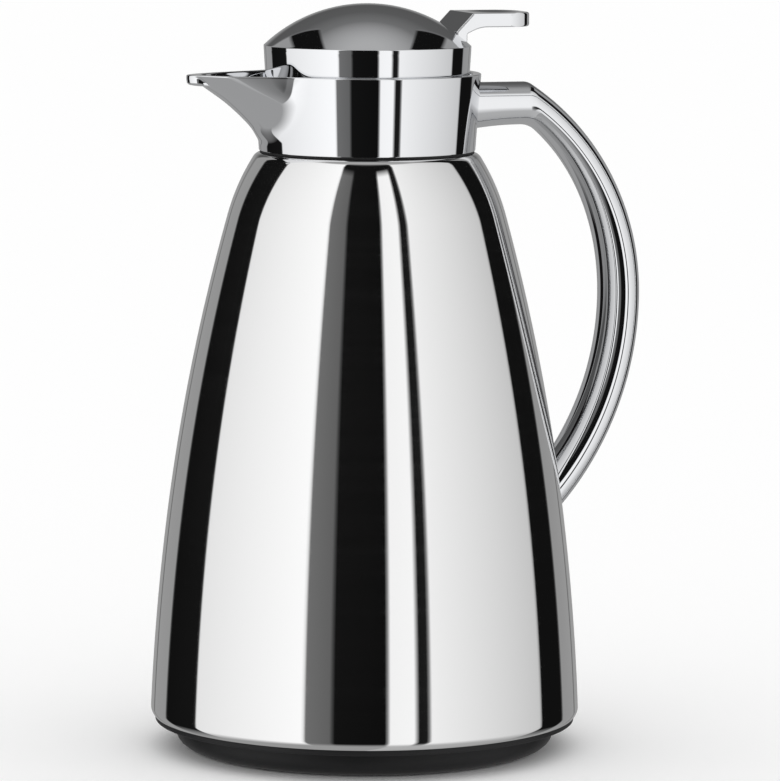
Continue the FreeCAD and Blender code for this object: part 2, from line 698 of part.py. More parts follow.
def spout_collar():
    """Chrome collar: tapered ring with a threaded floor, beak spout, oval handle pad and handle stub."""
    ring = lathe([(0, COLLAR_Z), (COLLAR_FOOT_R, COLLAR_Z), (COLLAR_RIM_R, RIM_Z), (0, RIM_Z)])
    beak = spout_solid(SPOUT_LEVELS, SPOUT_ROOT_X)
    pad = oval_face(0, ARM_Z, 0).extrude(V(PAD_BACK_X, 0, 0))
    stub = oval_face(PAD_BACK_X - COLLAR_WALL, ARM_Z, HANDLE_WALL + ASSEMBLY_GAP)
    stub = stub.extrude(V(STUB_LENGTH + COLLAR_WALL, 0, 0))
    floor_hole = disc(INSERT_OUTER_R + PRESS_GAP, COLLAR_Z, COLLAR_FLOOR_Z)
    screw_hole = Part.makeCylinder(HANDLE_SCREW_R + PRESS_GAP, HANDLE_HALF_DEPTH,
                                   V(handle_screw_x(), 0, ARM_Z - HANDLE_HALF_DEPTH))
    return joined([ring, beak, pad, stub]).cut([collar_inside(), spout_channel(), floor_hole, screw_hole])


def lid_boss_places():
    """Middles of the lid's screw bosses; none is near the lever."""
    places = []
    for number in range(LID_BOSSES):
        turn = math.radians(LID_BOSS_ANGLE + number * 360 / LID_BOSSES)
        places.append((LID_BOSS_CIRCLE * math.cos(turn), LID_BOSS_CIRCLE * math.sin(turn)))
    return places


def dome_solid(inset):
    """Everything inside the lid's outline, moved in by the inset: skirt and spherical dome."""
    skirt = lathe([
        (0, LID_Z),
        (LID_SKIRT_R - inset, LID_Z),
        (LID_CREASE_R - inset, CREASE_Z),
        (0, CREASE_Z),
    ])
    ball = Part.makeSphere(DOME_R - inset, V(0, 0, DOME_CENTRE_Z))
    above = disc(LID_CREASE_R - inset, CREASE_Z, CREASE_Z + 2 * LID_DOME_RISE)
    return joined([skirt, ball.common(above)])


def lever_notch():
    """Opening in the back of the lid for the lever's neck and heel, with room for its travel."""
    half = LEVER_HALF_WIDTH + MOVE_GAP
    low = PIVOT_Z + LEVER_HEEL_LIFT - NOTCH_DROP
    return block((LEVER_FRONT_ROOT_X - MOVE_GAP, LEVER_TAB_END_X), (-half, half), (low, CREASE_Z + LID_DOME_RISE))


def lid_shell():
    shell = dome_solid(0).cut(dome_solid(LID_WALL))
    bosses = []
    holes = []
    for x, y in lid_boss_places():
        boss = Part.makeCylinder(LID_BOSS_R, 2 * LID_DOME_RISE, V(x, y, DECK_TOP_Z))
        bosses.append(boss.common(dome_solid(LID_WALL / 2)))
        holes.append(Part.makeCylinder(LID_SCREW_R + PRESS_GAP, LID_SCREW_LENGTH, V(x, y, DECK_TOP_Z)))
    return joined([shell] + bosses).cut(holes + [lever_notch()])


def lid_screws():
    screws = []
    for x, y in lid_boss_places():
        screws.append(screw_up(LID_SCREW_R, LID_SCREW_HEAD_R, LID_SCREW_HEAD, LID_SCREW_LENGTH, x, y, LID_Z))
    return Part.makeCompound(screws)


def along_y(radius, x, z, y0, y1):
    return Part.makeCylinder(radius, y1 - y0, V(x, y0, z), ACROSS)


def lever_ears():
    """Two posts on the stopper's deck that hold the lever's pin."""
    ears = []
    near = HUB_HALF + EAR_SIDE_GAP
    for low, high in ((near, near + EAR_THICK), (-near - EAR_THICK, -near)):
        post = block((PIVOT_X - EAR_R, PIVOT_X + EAR_R), (low, high), (LID_Z, PIVOT_Z))
        ear = joined([post, along_y(EAR_R, PIVOT_X, PIVOT_Z, low, high)])
        ears.append(ear.common(dome_solid(LID_WALL + ASSEMBLY_GAP)))
    return ears


def stopper_windows():
    """Cuts that let the drink out of the stopper's chamber, between upright posts."""
    low = LEDGE_Z + STOPPER_FLANGE_THICK + STOPPER_WINDOW_MARGIN
    high = LID_Z - STOPPER_WINDOW_MARGIN
    pitch = 360 / STOPPER_WINDOWS
    band = tube(STOPPER_R - 2 * STOPPER_WALL, STOPPER_R + STOPPER_WALL, low, high)
    post_half = STOPPER_R * math.sin(math.radians(STOPPER_POST_ANGLE / 2))
    for number in range(STOPPER_WINDOWS):
        post = block((0, 2 * STOPPER_R), (-post_half, post_half), (low, high))
        band = band.cut(turned(post, pitch * (number + 0.5)))
    return band


def stopper_body():
    """Black stopper: threaded tube with the valve seat, pouring windows, ledge, deck, stem guide and ears."""
    inside_r = STOPPER_R - STOPPER_WALL
    shell = lathe([
        (ORIFICE_R, STOPPER_Z),
        (STOPPER_R, STOPPER_Z),
        (STOPPER_R, LEDGE_Z),
        (STOPPER_FLANGE_R, LEDGE_Z),
        (STOPPER_FLANGE_R, LEDGE_Z + STOPPER_FLANGE_THICK),
        (STOPPER_R, LEDGE_Z + STOPPER_FLANGE_THICK),
        (STOPPER_R, LID_Z),
        (inside_r, LID_Z),
        (inside_r, SEAT_Z),
        (ORIFICE_R, SEAT_Z),
    ])
    deck = disc(LID_SKIRT_R - LID_WALL - ASSEMBLY_GAP, LID_Z, DECK_TOP_Z)
    guide = disc(STEM_R + RUN_FIT + GUIDE_WALL, LID_Z - GUIDE_LENGTH, LID_Z)
    solid = joined([shell, deck, guide] + lever_ears() + thread_bars(0, 0, 0))
    bore = disc(STEM_R + RUN_FIT, LID_Z - GUIDE_LENGTH, DECK_TOP_Z)
    pin_hole = along_y(PIN_R + PRESS_GAP, PIVOT_X, PIVOT_Z, -PIN_HALF, PIN_HALF)
    screw_holes = []
    for x, y in lid_boss_places():
        screw_holes.append(Part.makeCylinder(LID_SCREW_R + ASSEMBLY_GAP, STOPPER_DECK, V(x, y, LID_Z)))
    return solid.cut([stopper_windows(), bore, pin_hole] + screw_holes)


def stopper_gasket():
    return tube(STOPPER_R + SNAP_GAP, STOPPER_GASKET_R, COLLAR_FLOOR_Z, LEDGE_Z)


def lever_pin():
    return along_y(PIN_R, PIVOT_X, PIVOT_Z, -PIN_HALF, PIN_HALF)


def upright_plate(points, half_width):
    """Outline of (x, height above the lever's pivot) points, given a width across the carafe."""
    outline = [V(x, -half_width, PIVOT_Z + lift) for x, lift in points]
    return Part.Face(Part.makePolygon(outline + outline[:1])).extrude(V(0, 2 * half_width, 0))


def lever():
    """Chrome lever: dished thumb tab, slanted neck and heel, hub on the pin, and a fork round the stem."""
    tab_low = LEVER_TAB_TOP - LEVER_TAB_THICK
    plate = upright_plate([
        (LEVER_FRONT_TOP_X, LEVER_TAB_TOP),
        (LEVER_TAB_END_X, LEVER_TAB_TOP),
        (LEVER_TAB_END_X, tab_low),
        (LEVER_UNDERSIDE_X, tab_low),
        (PIVOT_X + HUB_R, LEVER_NECK_LIFT),
        (PIVOT_X + HUB_R, LEVER_HEEL_LIFT),
        (LEVER_FRONT_ROOT_X, LEVER_HEEL_LIFT),
        (LEVER_FRONT_ROOT_X, LEVER_FRONT_ROOT_LIFT),
    ], LEVER_HALF_WIDTH)
    corners = [edge for edge in plate.Edges if is_tab_corner(edge)]
    plate = plate.makeFillet(LEVER_TAB_CORNER, corners)
    dish_x = (LEVER_FRONT_TOP_X + LEVER_TAB_END_X) / 2
    dish_z = PIVOT_Z + LEVER_TAB_TOP + LEVER_DISH_R - LEVER_DISH_DEPTH
    plate = plate.cut(Part.makeSphere(LEVER_DISH_R, V(dish_x, 0, dish_z)))
    web = upright_plate([
        (PIVOT_X - HUB_R, 0),
        (LEVER_FRONT_ROOT_X, LEVER_HEEL_LIFT),
        (PIVOT_X + HUB_R, LEVER_HEEL_LIFT),
        (PIVOT_X + HUB_R, 0),
    ], HUB_HALF)
    hub = along_y(HUB_R, PIVOT_X, PIVOT_Z, -HUB_HALF, HUB_HALF)
    solid = joined([plate, web, hub, fork()])
    return solid.cut(along_y(PIN_R + RUN_FIT, PIVOT_X, PIVOT_Z, -HUB_HALF, HUB_HALF))


def is_tab_corner(edge):
    """Whether an edge of the lever plate is one of the two upright corners at the end of its tab."""
    box = edge.BoundBox
    return box.XMin > LEVER_TAB_END_X - PRESS_GAP and box.YLength < PRESS_GAP


def fork():
    """Two arms that reach past the valve stem, with rounded noses under its clip."""
    nose_z = NOSE_TOP_Z - FORK_NOSE_R
    slot = STEM_R + MOVE_GAP
    plate = block((-FORK_TIP, PIVOT_X), (-HUB_HALF, HUB_HALF), (nose_z - FORK_ARM / 2, nose_z + FORK_ARM / 2))
    nose = along_y(FORK_NOSE_R, 0, nose_z, -HUB_HALF, HUB_HALF)
    gap = block((-2 * FORK_TIP, FORK_BRIDGE_X), (-slot, slot), (nose_z - FORK_NOSE_R, NOSE_TOP_Z))
    return joined([plate, nose]).cut(gap)


def valve_stem():
    """Plug that closes the stopper's orifice, with a stem up through the guide to the fork."""
    groove_r = STEM_R - CLIP_GROOVE
    top = CLIP_Z + CLIP_THICK + STEM_ABOVE_CLIP
    return lathe([
        (0, SEAT_Z),
        (VALVE_SPIGOT_R, SEAT_Z),
        (VALVE_SPIGOT_R, VALVE_Z),
        (VALVE_R, VALVE_Z),
        (VALVE_R, VALVE_TOP_Z),
        (STEM_R, VALVE_TOP_Z),
        (STEM_R, CLIP_Z),
        (groove_r, CLIP_Z),
        (groove_r, CLIP_Z + CLIP_THICK),
        (STEM_R, CLIP_Z + CLIP_THICK),
        (STEM_R, top),
        (0, top),
    ])


def valve_seal():
    return tube(VALVE_SPIGOT_R + PRESS_GAP, VALVE_R, SEAT_Z, VALVE_Z)


def stem_clip():
    """Spring clip in the stem's groove, open on the side it is pushed on from."""
    hole_r = STEM_R - CLIP_GROOVE + PRESS_GAP
    ring = tube(hole_r, CLIP_R, CLIP_Z, CLIP_Z + CLIP_THICK)
    mouth = block((-CLIP_R, 0), (-CLIP_MOUTH / 2, CLIP_MOUTH / 2), (CLIP_Z, CLIP_Z + CLIP_THICK))
    return ring.cut(mouth)


def biarc(start, start_way, end, end_way):
    """Two arcs that run smoothly from one point and direction to another."""
    chord = end - start
    ways = start_way + end_way
    bend = 1 - start_way.dot(end_way)
    along = chord.dot(ways)
    reach = (math.sqrt(along ** 2 + 2 * bend * chord.dot(chord)) - along) / (2 * bend)
    corners = [start + start_way * reach, end - end_way * reach]
    middle = (corners[0] + corners[1]) * 0.5
    edges = []
    for first, corner, last in ((start, corners[0], middle), (middle, corners[1], end)):
        half_chord = (last - first).Length / 2
        centre = (first + last) * 0.5
        rise = (corner - centre).Length
        angle = math.atan2(rise, half_chord)
        top = centre + (corner - centre) * (half_chord * math.tan(angle / 2) / rise)
        edges.append(Part.Arc(first, top, last).toShape())
    return edges


def valve_spring():
    """Coil that holds the valve shut, from the plug up to the deck."""
    low = VALVE_TOP_Z + SPRING_WIRE_R + SPRING_END_GAP
    climb = LID_Z - VALVE_TOP_Z - 2 * (SPRING_WIRE_R + SPRING_END_GAP)
    steps = 4 * SPRING_TURNS
    slope = climb / (2 * math.pi * SPRING_TURNS)
    places = []
    ways = []
    for step in range(steps + 1):
        turn = step * math.pi / 2
        places.append(V(SPRING_R * math.cos(turn), SPRING_R * math.sin(turn), low + climb * step / steps))
        ways.append(V(-SPRING_R * math.sin(turn), SPRING_R * math.cos(turn), slope).normalize())
    edges = []
    for step in range(steps):
        edges += biarc(places[step], ways[step], places[step + 1], ways[step + 1])
    section = Part.Wire([Part.makeCircle(SPRING_WIRE_R, places[0], ways[0])])
    print("least gap between the spring's turns %.2f mm" % (climb / SPRING_TURNS - 2 * SPRING_WIRE_R))
    return Part.Wire(edges).makePipeShell([section], True, False)


PIECES = {
    "body_shell": body_shell,
    "base_cap": base_cap,
    "foot_pad": foot_pad,
    "liner_cushion": liner_cushion,
    "outer_flask": outer_flask,
    "inner_flask": inner_flask,
    "flask_neck_seal": neck_seal,
    "neck_insert": neck_insert,
    "shoulder_gasket": shoulder_gasket,
    "spout_collar": spout_collar,
    "handle_outer": handle_outer,
    "handle_inner": handle_inner,
    "handle_screw": handle_screw,
    "handle_anchor": handle_anchor,
    "anchor_screws": anchor_screws,
    "anchor_plate": anchor_plate,
    "lid_shell": lid_shell,
    "lid_screws": lid_screws,
    "stopper_body": stopper_body,
    "stopper_gasket": stopper_gasket,
    "lever_pin": lever_pin,
    "lever": lever,
    "valve_stem": valve_stem,
    "valve_seal": valve_seal,
    "stem_clip": stem_clip,
    "valve_spring": valve_spring,
}

os.makedirs("parts", exist_ok=True)
for name, make in PIECES.items():
    shape = make()
    print("%-16s solids %d volume %9.0f valid %s" % (name, len(shape.Solids), shape.Volume, shape.isValid()))
    shape.exportStep("parts/" + name + ".step")
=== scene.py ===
# %% [markdown]
# # Dressing a thermal carafe
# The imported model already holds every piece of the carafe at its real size. This lesson gives it its looks:
# mirror-bright metal, black mouldings and the studio that the metal reflects. A mirror hides nothing, so the
# pieces that show are worked out again here as smooth numpy surfaces that lie on the same sizes. Lengths are
# written in millimetres, and MM turns them into Blender's metres.

import bmesh
import bpy
import numpy as np
from mathutils import Matrix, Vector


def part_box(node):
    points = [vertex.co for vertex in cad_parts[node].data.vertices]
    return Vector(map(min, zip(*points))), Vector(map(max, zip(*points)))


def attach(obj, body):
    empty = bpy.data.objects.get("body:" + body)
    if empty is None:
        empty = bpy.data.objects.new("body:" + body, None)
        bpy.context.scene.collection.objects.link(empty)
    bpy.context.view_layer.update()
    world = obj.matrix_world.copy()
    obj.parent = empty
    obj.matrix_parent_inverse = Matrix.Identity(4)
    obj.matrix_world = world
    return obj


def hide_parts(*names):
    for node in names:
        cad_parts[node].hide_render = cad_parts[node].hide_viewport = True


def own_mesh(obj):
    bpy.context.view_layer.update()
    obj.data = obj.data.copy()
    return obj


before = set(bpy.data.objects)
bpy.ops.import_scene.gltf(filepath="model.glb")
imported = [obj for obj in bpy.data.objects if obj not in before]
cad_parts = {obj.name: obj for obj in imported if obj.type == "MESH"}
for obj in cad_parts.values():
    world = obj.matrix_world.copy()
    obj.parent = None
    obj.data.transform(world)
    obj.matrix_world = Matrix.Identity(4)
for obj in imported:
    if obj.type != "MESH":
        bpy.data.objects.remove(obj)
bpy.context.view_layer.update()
MM = 0.001

# %% [markdown]
# ## The camera
# The photograph was taken with a long lens from slightly above, a little to the spout's side of square on.
# Three circles of the carafe (rim, shoulder seam and base) appear as ellipses, and their widths and heights
# give the distance, the height and the tilt. A camera aimed by eye would do, but then no edge would line up.

# %% Set up the camera
PHOTO_SIZE = (780, 781)
FOCAL_PIXELS = 5150.0
SENSOR = 36.0
CAMERA_AZIMUTH = np.radians(-18.0)
CAMERA_DISTANCE = 1786.0
CAMERA_HEIGHT = 339.0
CAMERA_ASIDE = 8.4
CAMERA_PITCH = np.radians(6.83)
CAMERA_ROLL = np.radians(0.3)

UP = np.array([0.0, 0.0, 1.0])
TOWARDS = np.array([np.sin(CAMERA_AZIMUTH), -np.cos(CAMERA_AZIMUTH), 0.0])
RIGHT = np.array([np.cos(CAMERA_AZIMUTH), np.sin(CAMERA_AZIMUTH), 0.0])

look = -TOWARDS * np.cos(CAMERA_PITCH) - UP * np.sin(CAMERA_PITCH)
level_up = np.cross(RIGHT, look)
camera_right = RIGHT * np.cos(CAMERA_ROLL) + level_up * np.sin(CAMERA_ROLL)
camera_up = level_up * np.cos(CAMERA_ROLL) - RIGHT * np.sin(CAMERA_ROLL)
camera_place = TOWARDS * CAMERA_DISTANCE + RIGHT * CAMERA_ASIDE + UP * CAMERA_HEIGHT

camera = bpy.data.objects.new("photo_camera", bpy.data.cameras.new("photo_camera"))
camera.data.sensor_width = SENSOR
camera.data.lens = FOCAL_PIXELS * SENSOR / max(PHOTO_SIZE)
camera.matrix_world = Matrix.LocRotScale(
    camera_place * MM,
    Matrix(np.column_stack([camera_right, camera_up, -look])),
    None,
)
bpy.context.scene.collection.objects.link(camera)
bpy.context.scene.camera = camera
bpy.context.scene.view_settings.view_transform = "Standard"
print("lens %.1f mm" % camera.data.lens)

# %% [markdown]
# ## Colours and nodes
# Colours are written as sRGB hex, as a colour picker shows them, and the shaders want linear light, so one
# function converts. Another small function adds any node with its settings and links, which keeps each
# material to a few lines that read from the pattern to the shader.


# %% Colour and node helpers
def linear(hex_colour):
    """Linear RGBA of an sRGB hex colour.

    A channel c becomes c / 12.92 up to 0.04045, and ((c + 0.055) / 1.055) to the power 2.4 above that.
    """
    srgb = np.array([int(hex_colour[i:i + 2], 16) for i in (0, 2, 4)]) / 255
    rgb = np.where(srgb <= 0.04045, srgb / 12.92, ((srgb + 0.055) / 1.055) ** 2.4)
    return (*rgb.tolist(), 1.0)


def add(tree, kind, links=None, stops=None, **settings):
    """Adds a node, sets its properties, fills or links its inputs, and gives a colour ramp its stops."""
    node = tree.nodes.new(kind)
    for name, value in settings.items():
        setattr(node, name, value)
    for socket, value in (links or {}).items():
        if isinstance(value, bpy.types.NodeSocket):
            tree.links.new(value, node.inputs[socket])
        else:
            node.inputs[socket].default_value = value
    for number, (place, colour) in enumerate(stops or []):
        ramp = node.color_ramp.elements
        element = ramp[number] if number < len(ramp) else ramp.new(place)
        element.position = place
        element.color = linear(colour) if isinstance(colour, str) else (colour, colour, colour, 1.0)
    return node


def new_finish(name):
    """A new material, with its node tree and its shader."""
    material = bpy.data.materials.new(name)
    material.use_nodes = True
    return material, material.node_tree, material.node_tree.nodes["Principled BSDF"]


print("grey 808080 is %.3f in linear light" % linear("808080")[0])

# %% [markdown]
# ## The studio
# Polished metal has no look of its own: it shows the room. Round this carafe stand a broad soft box on the
# left, a slim one just right of the lens, a broad dimmer one further right, black flags between them, and a
# dim ceiling over two side walls. Behind it hangs a grey backdrop with a thin dark line on either side. Cards
# and lamps could be built for these, but a world that depends only on the direction gives the same bands
# without noise. It is read by glossy rays alone. Diffuse surfaces get plain white light, and the camera sees
# white.

# %% Describe the studio
ROOM_LEVEL = 1.25
FLAG_BLACK = "101010"
BACKDROP = "919191"
BACKDROP_LINE = "484848"
# Angle from the lens towards the right, in degrees, where a wall starts and ends, and its brightness there
STUDIO_WALLS = [
    (-180.0, -157.2, BACKDROP, BACKDROP),
    (-157.2, -155.4, BACKDROP_LINE, BACKDROP_LINE),
    (-155.4, -134.0, BACKDROP, BACKDROP),
    (-134.0, -102.0, "101010", "141414"),
    (-102.0, -32.0, "e4e4e4", "fcfcfc"),
    (-32.0, -17.0, "6c6c6c", "606060"),
    (-17.0, 13.0, "121212", "0e0e0e"),
    (13.0, 28.0, "f2f2f2", "f6f6f6"),
    (28.0, 35.5, "161616", "1c1c1c"),
    (35.5, 110.0, "eeeeee", "c4c4c4"),
    (110.0, 134.0, "101010", "101010"),
    (134.0, 155.4, "8e8e8e", BACKDROP),
    (155.4, 157.2, BACKDROP_LINE, BACKDROP_LINE),
    (157.2, 180.0, BACKDROP, BACKDROP),
]
# The table in the same way; it is a little brighter in front of the right-hand box
STUDIO_TABLE = [
    (-180.0, 14.0, "969696", "969696"),
    (14.0, 110.0, "b0b0b0", "a0a0a0"),
    (110.0, 180.0, "969696", "969696"),
]
# Height of a direction, which is the sine of its angle above the floor, and the ceiling's brightness there
CEILING = [
    (0.0, "969696"),
    (0.1, "808080"),
    (0.3, "505050"),
    (0.6, "565656"),
    (0.81, "6c6c6c"),
    (0.99, "a8a8a8"),
]
print("studio walls:", len(STUDIO_WALLS))

# %% Where the parts of the studio meet
# Angles from the lens, in degrees: how far the black flag over it reaches, and where the side walls start
# and end
LENS_SIDE = 31.0
SIDE_START = 110.0
SIDE_END = 152.0
# Degrees from the border of two walls to where each has its full brightness, and over which a mask fades
WALL_BLUR = 0.7
MASK_BLUR = 2.0
# Heights between which the walls fade into the table
WALL_FOOT = -0.35
TABLE_EDGE = -0.7
# Soft steps, as the height in the middle and the reach to either side: the ceiling in front and behind, and
# the foot of the flag over the lens
FRONT_CEILING = (0.9, 0.03)
BACK_CEILING = (0.15, 0.12)
LENS_FLAG = (0.81, 0.02)
# The side walls' black border and the ceiling over it, as a height per distance out to the side
SIDE_BORDER = (1.35, 0.05)
SIDE_CEILING = (2.4, 0.1)


def share(angle):
    """Place of an angle on a ramp that goes once round from behind the carafe: (angle + 180) / 360."""
    return (angle + 180.0) / 360.0


def wall_stops(walls):
    """Ramp stops for walls of (start, end, first colour, last colour), blurred between neighbours."""
    stops = []
    for start, end, first, last in walls:
        stops += [(share(start + WALL_BLUR), first), (share(end - WALL_BLUR), last)]
    return stops


def mask_stops(spans):
    """Ramp stops for a mask that is 1 between the angles of each span and fades to 0 beyond them."""
    stops = []
    for start, end in spans:
        stops += [(share(start - MASK_BLUR), 0.0), (share(start), 1.0)]
        stops += [(share(end), 1.0), (share(end + MASK_BLUR), 0.0)]
    return stops


# %% Read the direction
world = bpy.data.worlds.new("studio")
world.use_nodes = True
bpy.context.scene.world = world
tree = world.node_tree
tree.nodes.clear()
way = add(tree, "ShaderNodeTexCoord").outputs["Generated"]
aside, ahead = (
    add(tree, "ShaderNodeVectorMath", {0: way, 1: axis.tolist()}, operation="DOT_PRODUCT").outputs["Value"]
    for axis in (RIGHT, TOWARDS)
)
height = add(tree, "ShaderNodeSeparateXYZ", {0: way}).outputs["Z"]
angle = add(tree, "ShaderNodeMath", {0: aside, 1: ahead}, operation="ARCTAN2").outputs[0]
around = add(tree, "ShaderNodeMapRange", {0: angle, 1: -np.pi, 2: np.pi}).outputs[0]
side = add(tree, "ShaderNodeMath", {0: aside}, operation="ABSOLUTE").outputs[0]
lift = add(tree, "ShaderNodeMath", {0: height, 1: side}, operation="DIVIDE").outputs[0]

# %% Paint the studio
walls, table, ceiling, front, sides, lens = (
    add(tree, "ShaderNodeValToRGB", {0: value}, stops).outputs[0]
    for value, stops in (
        (around, wall_stops(STUDIO_WALLS)),
        (around, wall_stops(STUDIO_TABLE)),
        (height, CEILING),
        (around, mask_stops([(-SIDE_START, SIDE_START)])),
        (around, mask_stops([(-SIDE_END, -SIDE_START), (SIDE_START, SIDE_END)])),
        (around, mask_stops([(-LENS_SIDE, LENS_SIDE)])),
    )
)
front_over, back_over, flag, border, side_over = (
    add(tree, "ShaderNodeMapRange", {0: value, 1: middle - reach, 2: middle + reach}).outputs[0]
    for value, (middle, reach) in (
        (height, FRONT_CEILING),
        (height, BACK_CEILING),
        (height, LENS_FLAG),
        (lift, SIDE_BORDER),
        (lift, SIDE_CEILING),
    )
)
under = add(tree, "ShaderNodeMapRange", {0: height, 1: WALL_FOOT, 2: TABLE_EDGE}).outputs[0]

# %% Mix the room
side_black = add(tree, "ShaderNodeMath", {0: border, 1: sides}, operation="MULTIPLY").outputs[0]
lens_black = add(tree, "ShaderNodeMath", {0: flag, 1: lens}, operation="MULTIPLY").outputs[0]
black = add(tree, "ShaderNodeMath", {0: side_black, 1: lens_black}, operation="MAXIMUM").outputs[0]
over = add(tree, "ShaderNodeMixRGB", {0: sides, 1: back_over, 2: side_over}).outputs[0]
over = add(tree, "ShaderNodeMixRGB", {0: front, 1: over, 2: front_over}).outputs[0]
room = walls
for mask, layer in ((black, linear(FLAG_BLACK)), (over, ceiling), (under, table)):
    room = add(tree, "ShaderNodeMixRGB", {0: mask, 1: room, 2: layer}).outputs[0]

seen = add(tree, "ShaderNodeBackground", {0: linear("ffffff"), 1: 1.0}).outputs[0]
mirrored = add(tree, "ShaderNodeBackground", {0: room, 1: ROOM_LEVEL}).outputs[0]
glossy = add(tree, "ShaderNodeLightPath").outputs["Is Glossy Ray"]
light = add(tree, "ShaderNodeMixShader", {0: glossy, 1: seen, 2: mirrored}).outputs[0]
add(tree, "ShaderNodeOutputWorld", {0: light})
print("studio nodes:", len(tree.nodes))

# %% [markdown]
# ## The floor
# A white sheet big enough to fill the view. The metal should show the studio's walls down to its lip and not
# the sheet, so glossy rays pass through it.

# %% Lay the floor
FLOOR_HALF = 30000.0
PAPER = {"Base Color": linear("fefefe"), "Roughness": 1.0, "Specular IOR Level": 0.0}
floor_corners = FLOOR_HALF * MM * np.array([(-1, -1, 0), (1, -1, 0), (1, 1, 0), (-1, 1, 0)])
floor_mesh = bpy.data.meshes.new("floor")
floor_mesh.from_pydata(floor_corners.tolist(), [], [(0, 1, 2, 3)])
floor = bpy.data.objects.new("floor", floor_mesh)
bpy.context.scene.collection.objects.link(floor)
floor.visible_glossy = False
paper, _, paper_shader = new_finish("white_studio_paper")
for socket, value in PAPER.items():
    paper_shader.inputs[socket].default_value = value
floor_mesh.materials.append(paper)
print("floor %.0f m across" % (2 * FLOOR_HALF * MM))

# %% [markdown]
# ## Metals
# The body is stainless steel, spun and then polished on a mop until it mirrors; the mop leaves very fine
# lines round the body that only soften the reflection here and there. The collar, lid, lever and handle are
# ABS mouldings with bright chrome plating, slightly bluer, and as smooth as their mould. One builder makes
# all metals, because each is a metallic shader whose roughness is stirred by a noise.

# %% Make the metals
# Most values of a noise lie between these
NOISE_LOW = 0.3
NOISE_HIGH = 0.7
MARK_DETAIL = 4.0
RIPPLE_DEPTH = 0.1
EVEN = (1.0, 1.0, 1.0)


def metal(name, colour, fine, dull, mark_mm, squeeze=EVEN, ripple=0.0):
    """Metallic finish whose roughness runs from fine to dull with a noise of mark_mm.

    The squeeze makes the marks shorter along x, y and z, or longer where it is under 1. A ripple above 0 also
    makes them a bump of that strength.
    """
    material, tree, shader = new_finish(name)
    place = add(tree, "ShaderNodeTexCoord").outputs["Object"]
    drawn = add(tree, "ShaderNodeMapping", {"Vector": place, "Scale": squeeze}).outputs[0]
    noise = {"Vector": drawn, "Scale": 1 / (mark_mm * MM), "Detail": MARK_DETAIL}
    marks = add(tree, "ShaderNodeTexNoise", noise).outputs[0]
    spread = {0: marks, 1: NOISE_LOW, 2: NOISE_HIGH, 3: fine, 4: dull}
    rough = add(tree, "ShaderNodeMapRange", spread).outputs[0]
    tree.links.new(rough, shader.inputs["Roughness"])
    if ripple:
        bump = {"Strength": ripple, "Distance": RIPPLE_DEPTH * MM, "Height": marks}
        waves = add(tree, "ShaderNodeBump", bump).outputs[0]
        tree.links.new(waves, shader.inputs["Normal"])
    shader.inputs["Base Color"].default_value = linear(colour)
    shader.inputs["Metallic"].default_value = 1.0
    return material


# Spun and mopped: a clear mirror, a shade softer in long thin lines round the body
polished_steel = metal(
    "polished_stainless_steel", "e6e6e6", fine=0.02, dull=0.05, mark_mm=6.0, squeeze=(0.05, 0.05, 3.0)
)
# Plated on a smooth moulding: the clearest mirror, a little cooler than the steel
chrome_plate = metal("bright_chrome_plate", "e6e7e9", fine=0.015, dull=0.035, mark_mm=14.0)
# Wire and screws as drawn: a greyer metal with broad, soft highlights
drawn_steel = metal("drawn_spring_steel", "a9a9aa", fine=0.25, dull=0.4, mark_mm=0.8, ripple=0.2)
# Silver behind glass: a mirror with a faint blue-grey tint
silvered_glass = metal("silvered_glass", "cfd3d8", fine=0.03, dull=0.06, mark_mm=20.0)
print("metals:", polished_steel.name, chrome_plate.name, drawn_steel.name, silvered_glass.name)

# %% [markdown]
# ## Mouldings and seals
# The base and the stopper are black polypropylene from a spark-eroded mould, which leaves a fine matt grain.
# The seals are silicone, the pads rubber: the same recipe with other colours and grain. The real grain is a
# tenth of a millimetre and would vanish in the picture, so it is drawn at least five times as coarse.

# %% Make the mouldings
GRAIN_DETAIL = 3.0
GRAIN_STRENGTH = 0.3
CLOUD_MM = 25.0
CLOUD_DETAIL = 2.0
UNEVEN = 0.06


def moulding(name, dark, pale, rough, gloss, grain_mm, depth):
    """Moulded finish: a noise of grain_mm gives bump and roughness, a slower one mixes dark and pale."""
    material, tree, shader = new_finish(name)
    place = add(tree, "ShaderNodeTexCoord").outputs["Object"]
    fine = {"Vector": place, "Scale": 1 / (grain_mm * MM), "Detail": GRAIN_DETAIL}
    slow = {"Vector": place, "Scale": 1 / (CLOUD_MM * MM), "Detail": CLOUD_DETAIL}
    grain, cloud = (add(tree, "ShaderNodeTexNoise", noise).outputs[0] for noise in (fine, slow))
    tint = add(tree, "ShaderNodeMixRGB", {0: cloud, 1: linear(dark), 2: linear(pale)}).outputs[0]
    relief = {"Strength": GRAIN_STRENGTH, "Distance": depth * MM, "Height": grain}
    bump = add(tree, "ShaderNodeBump", relief).outputs[0]
    spread = {0: grain, 1: NOISE_LOW, 2: NOISE_HIGH, 3: rough - UNEVEN, 4: rough + UNEVEN}
    uneven = add(tree, "ShaderNodeMapRange", spread).outputs[0]
    tree.links.new(tint, shader.inputs["Base Color"])
    tree.links.new(uneven, shader.inputs["Roughness"])
    tree.links.new(bump, shader.inputs["Normal"])
    shader.inputs["Specular IOR Level"].default_value = gloss
    return material


# Moulded polypropylene: deep black with a weak, grainy shine
black_plastic = moulding(
    "black_polypropylene", "1b1b1c", "212122", rough=0.5, gloss=0.25, grain_mm=0.5, depth=0.05
)
# Pressed silicone: black, soft and almost without shine
silicone = moulding("black_silicone", "161617", "1b1b1c", rough=0.6, gloss=0.3, grain_mm=0.8, depth=0.03)
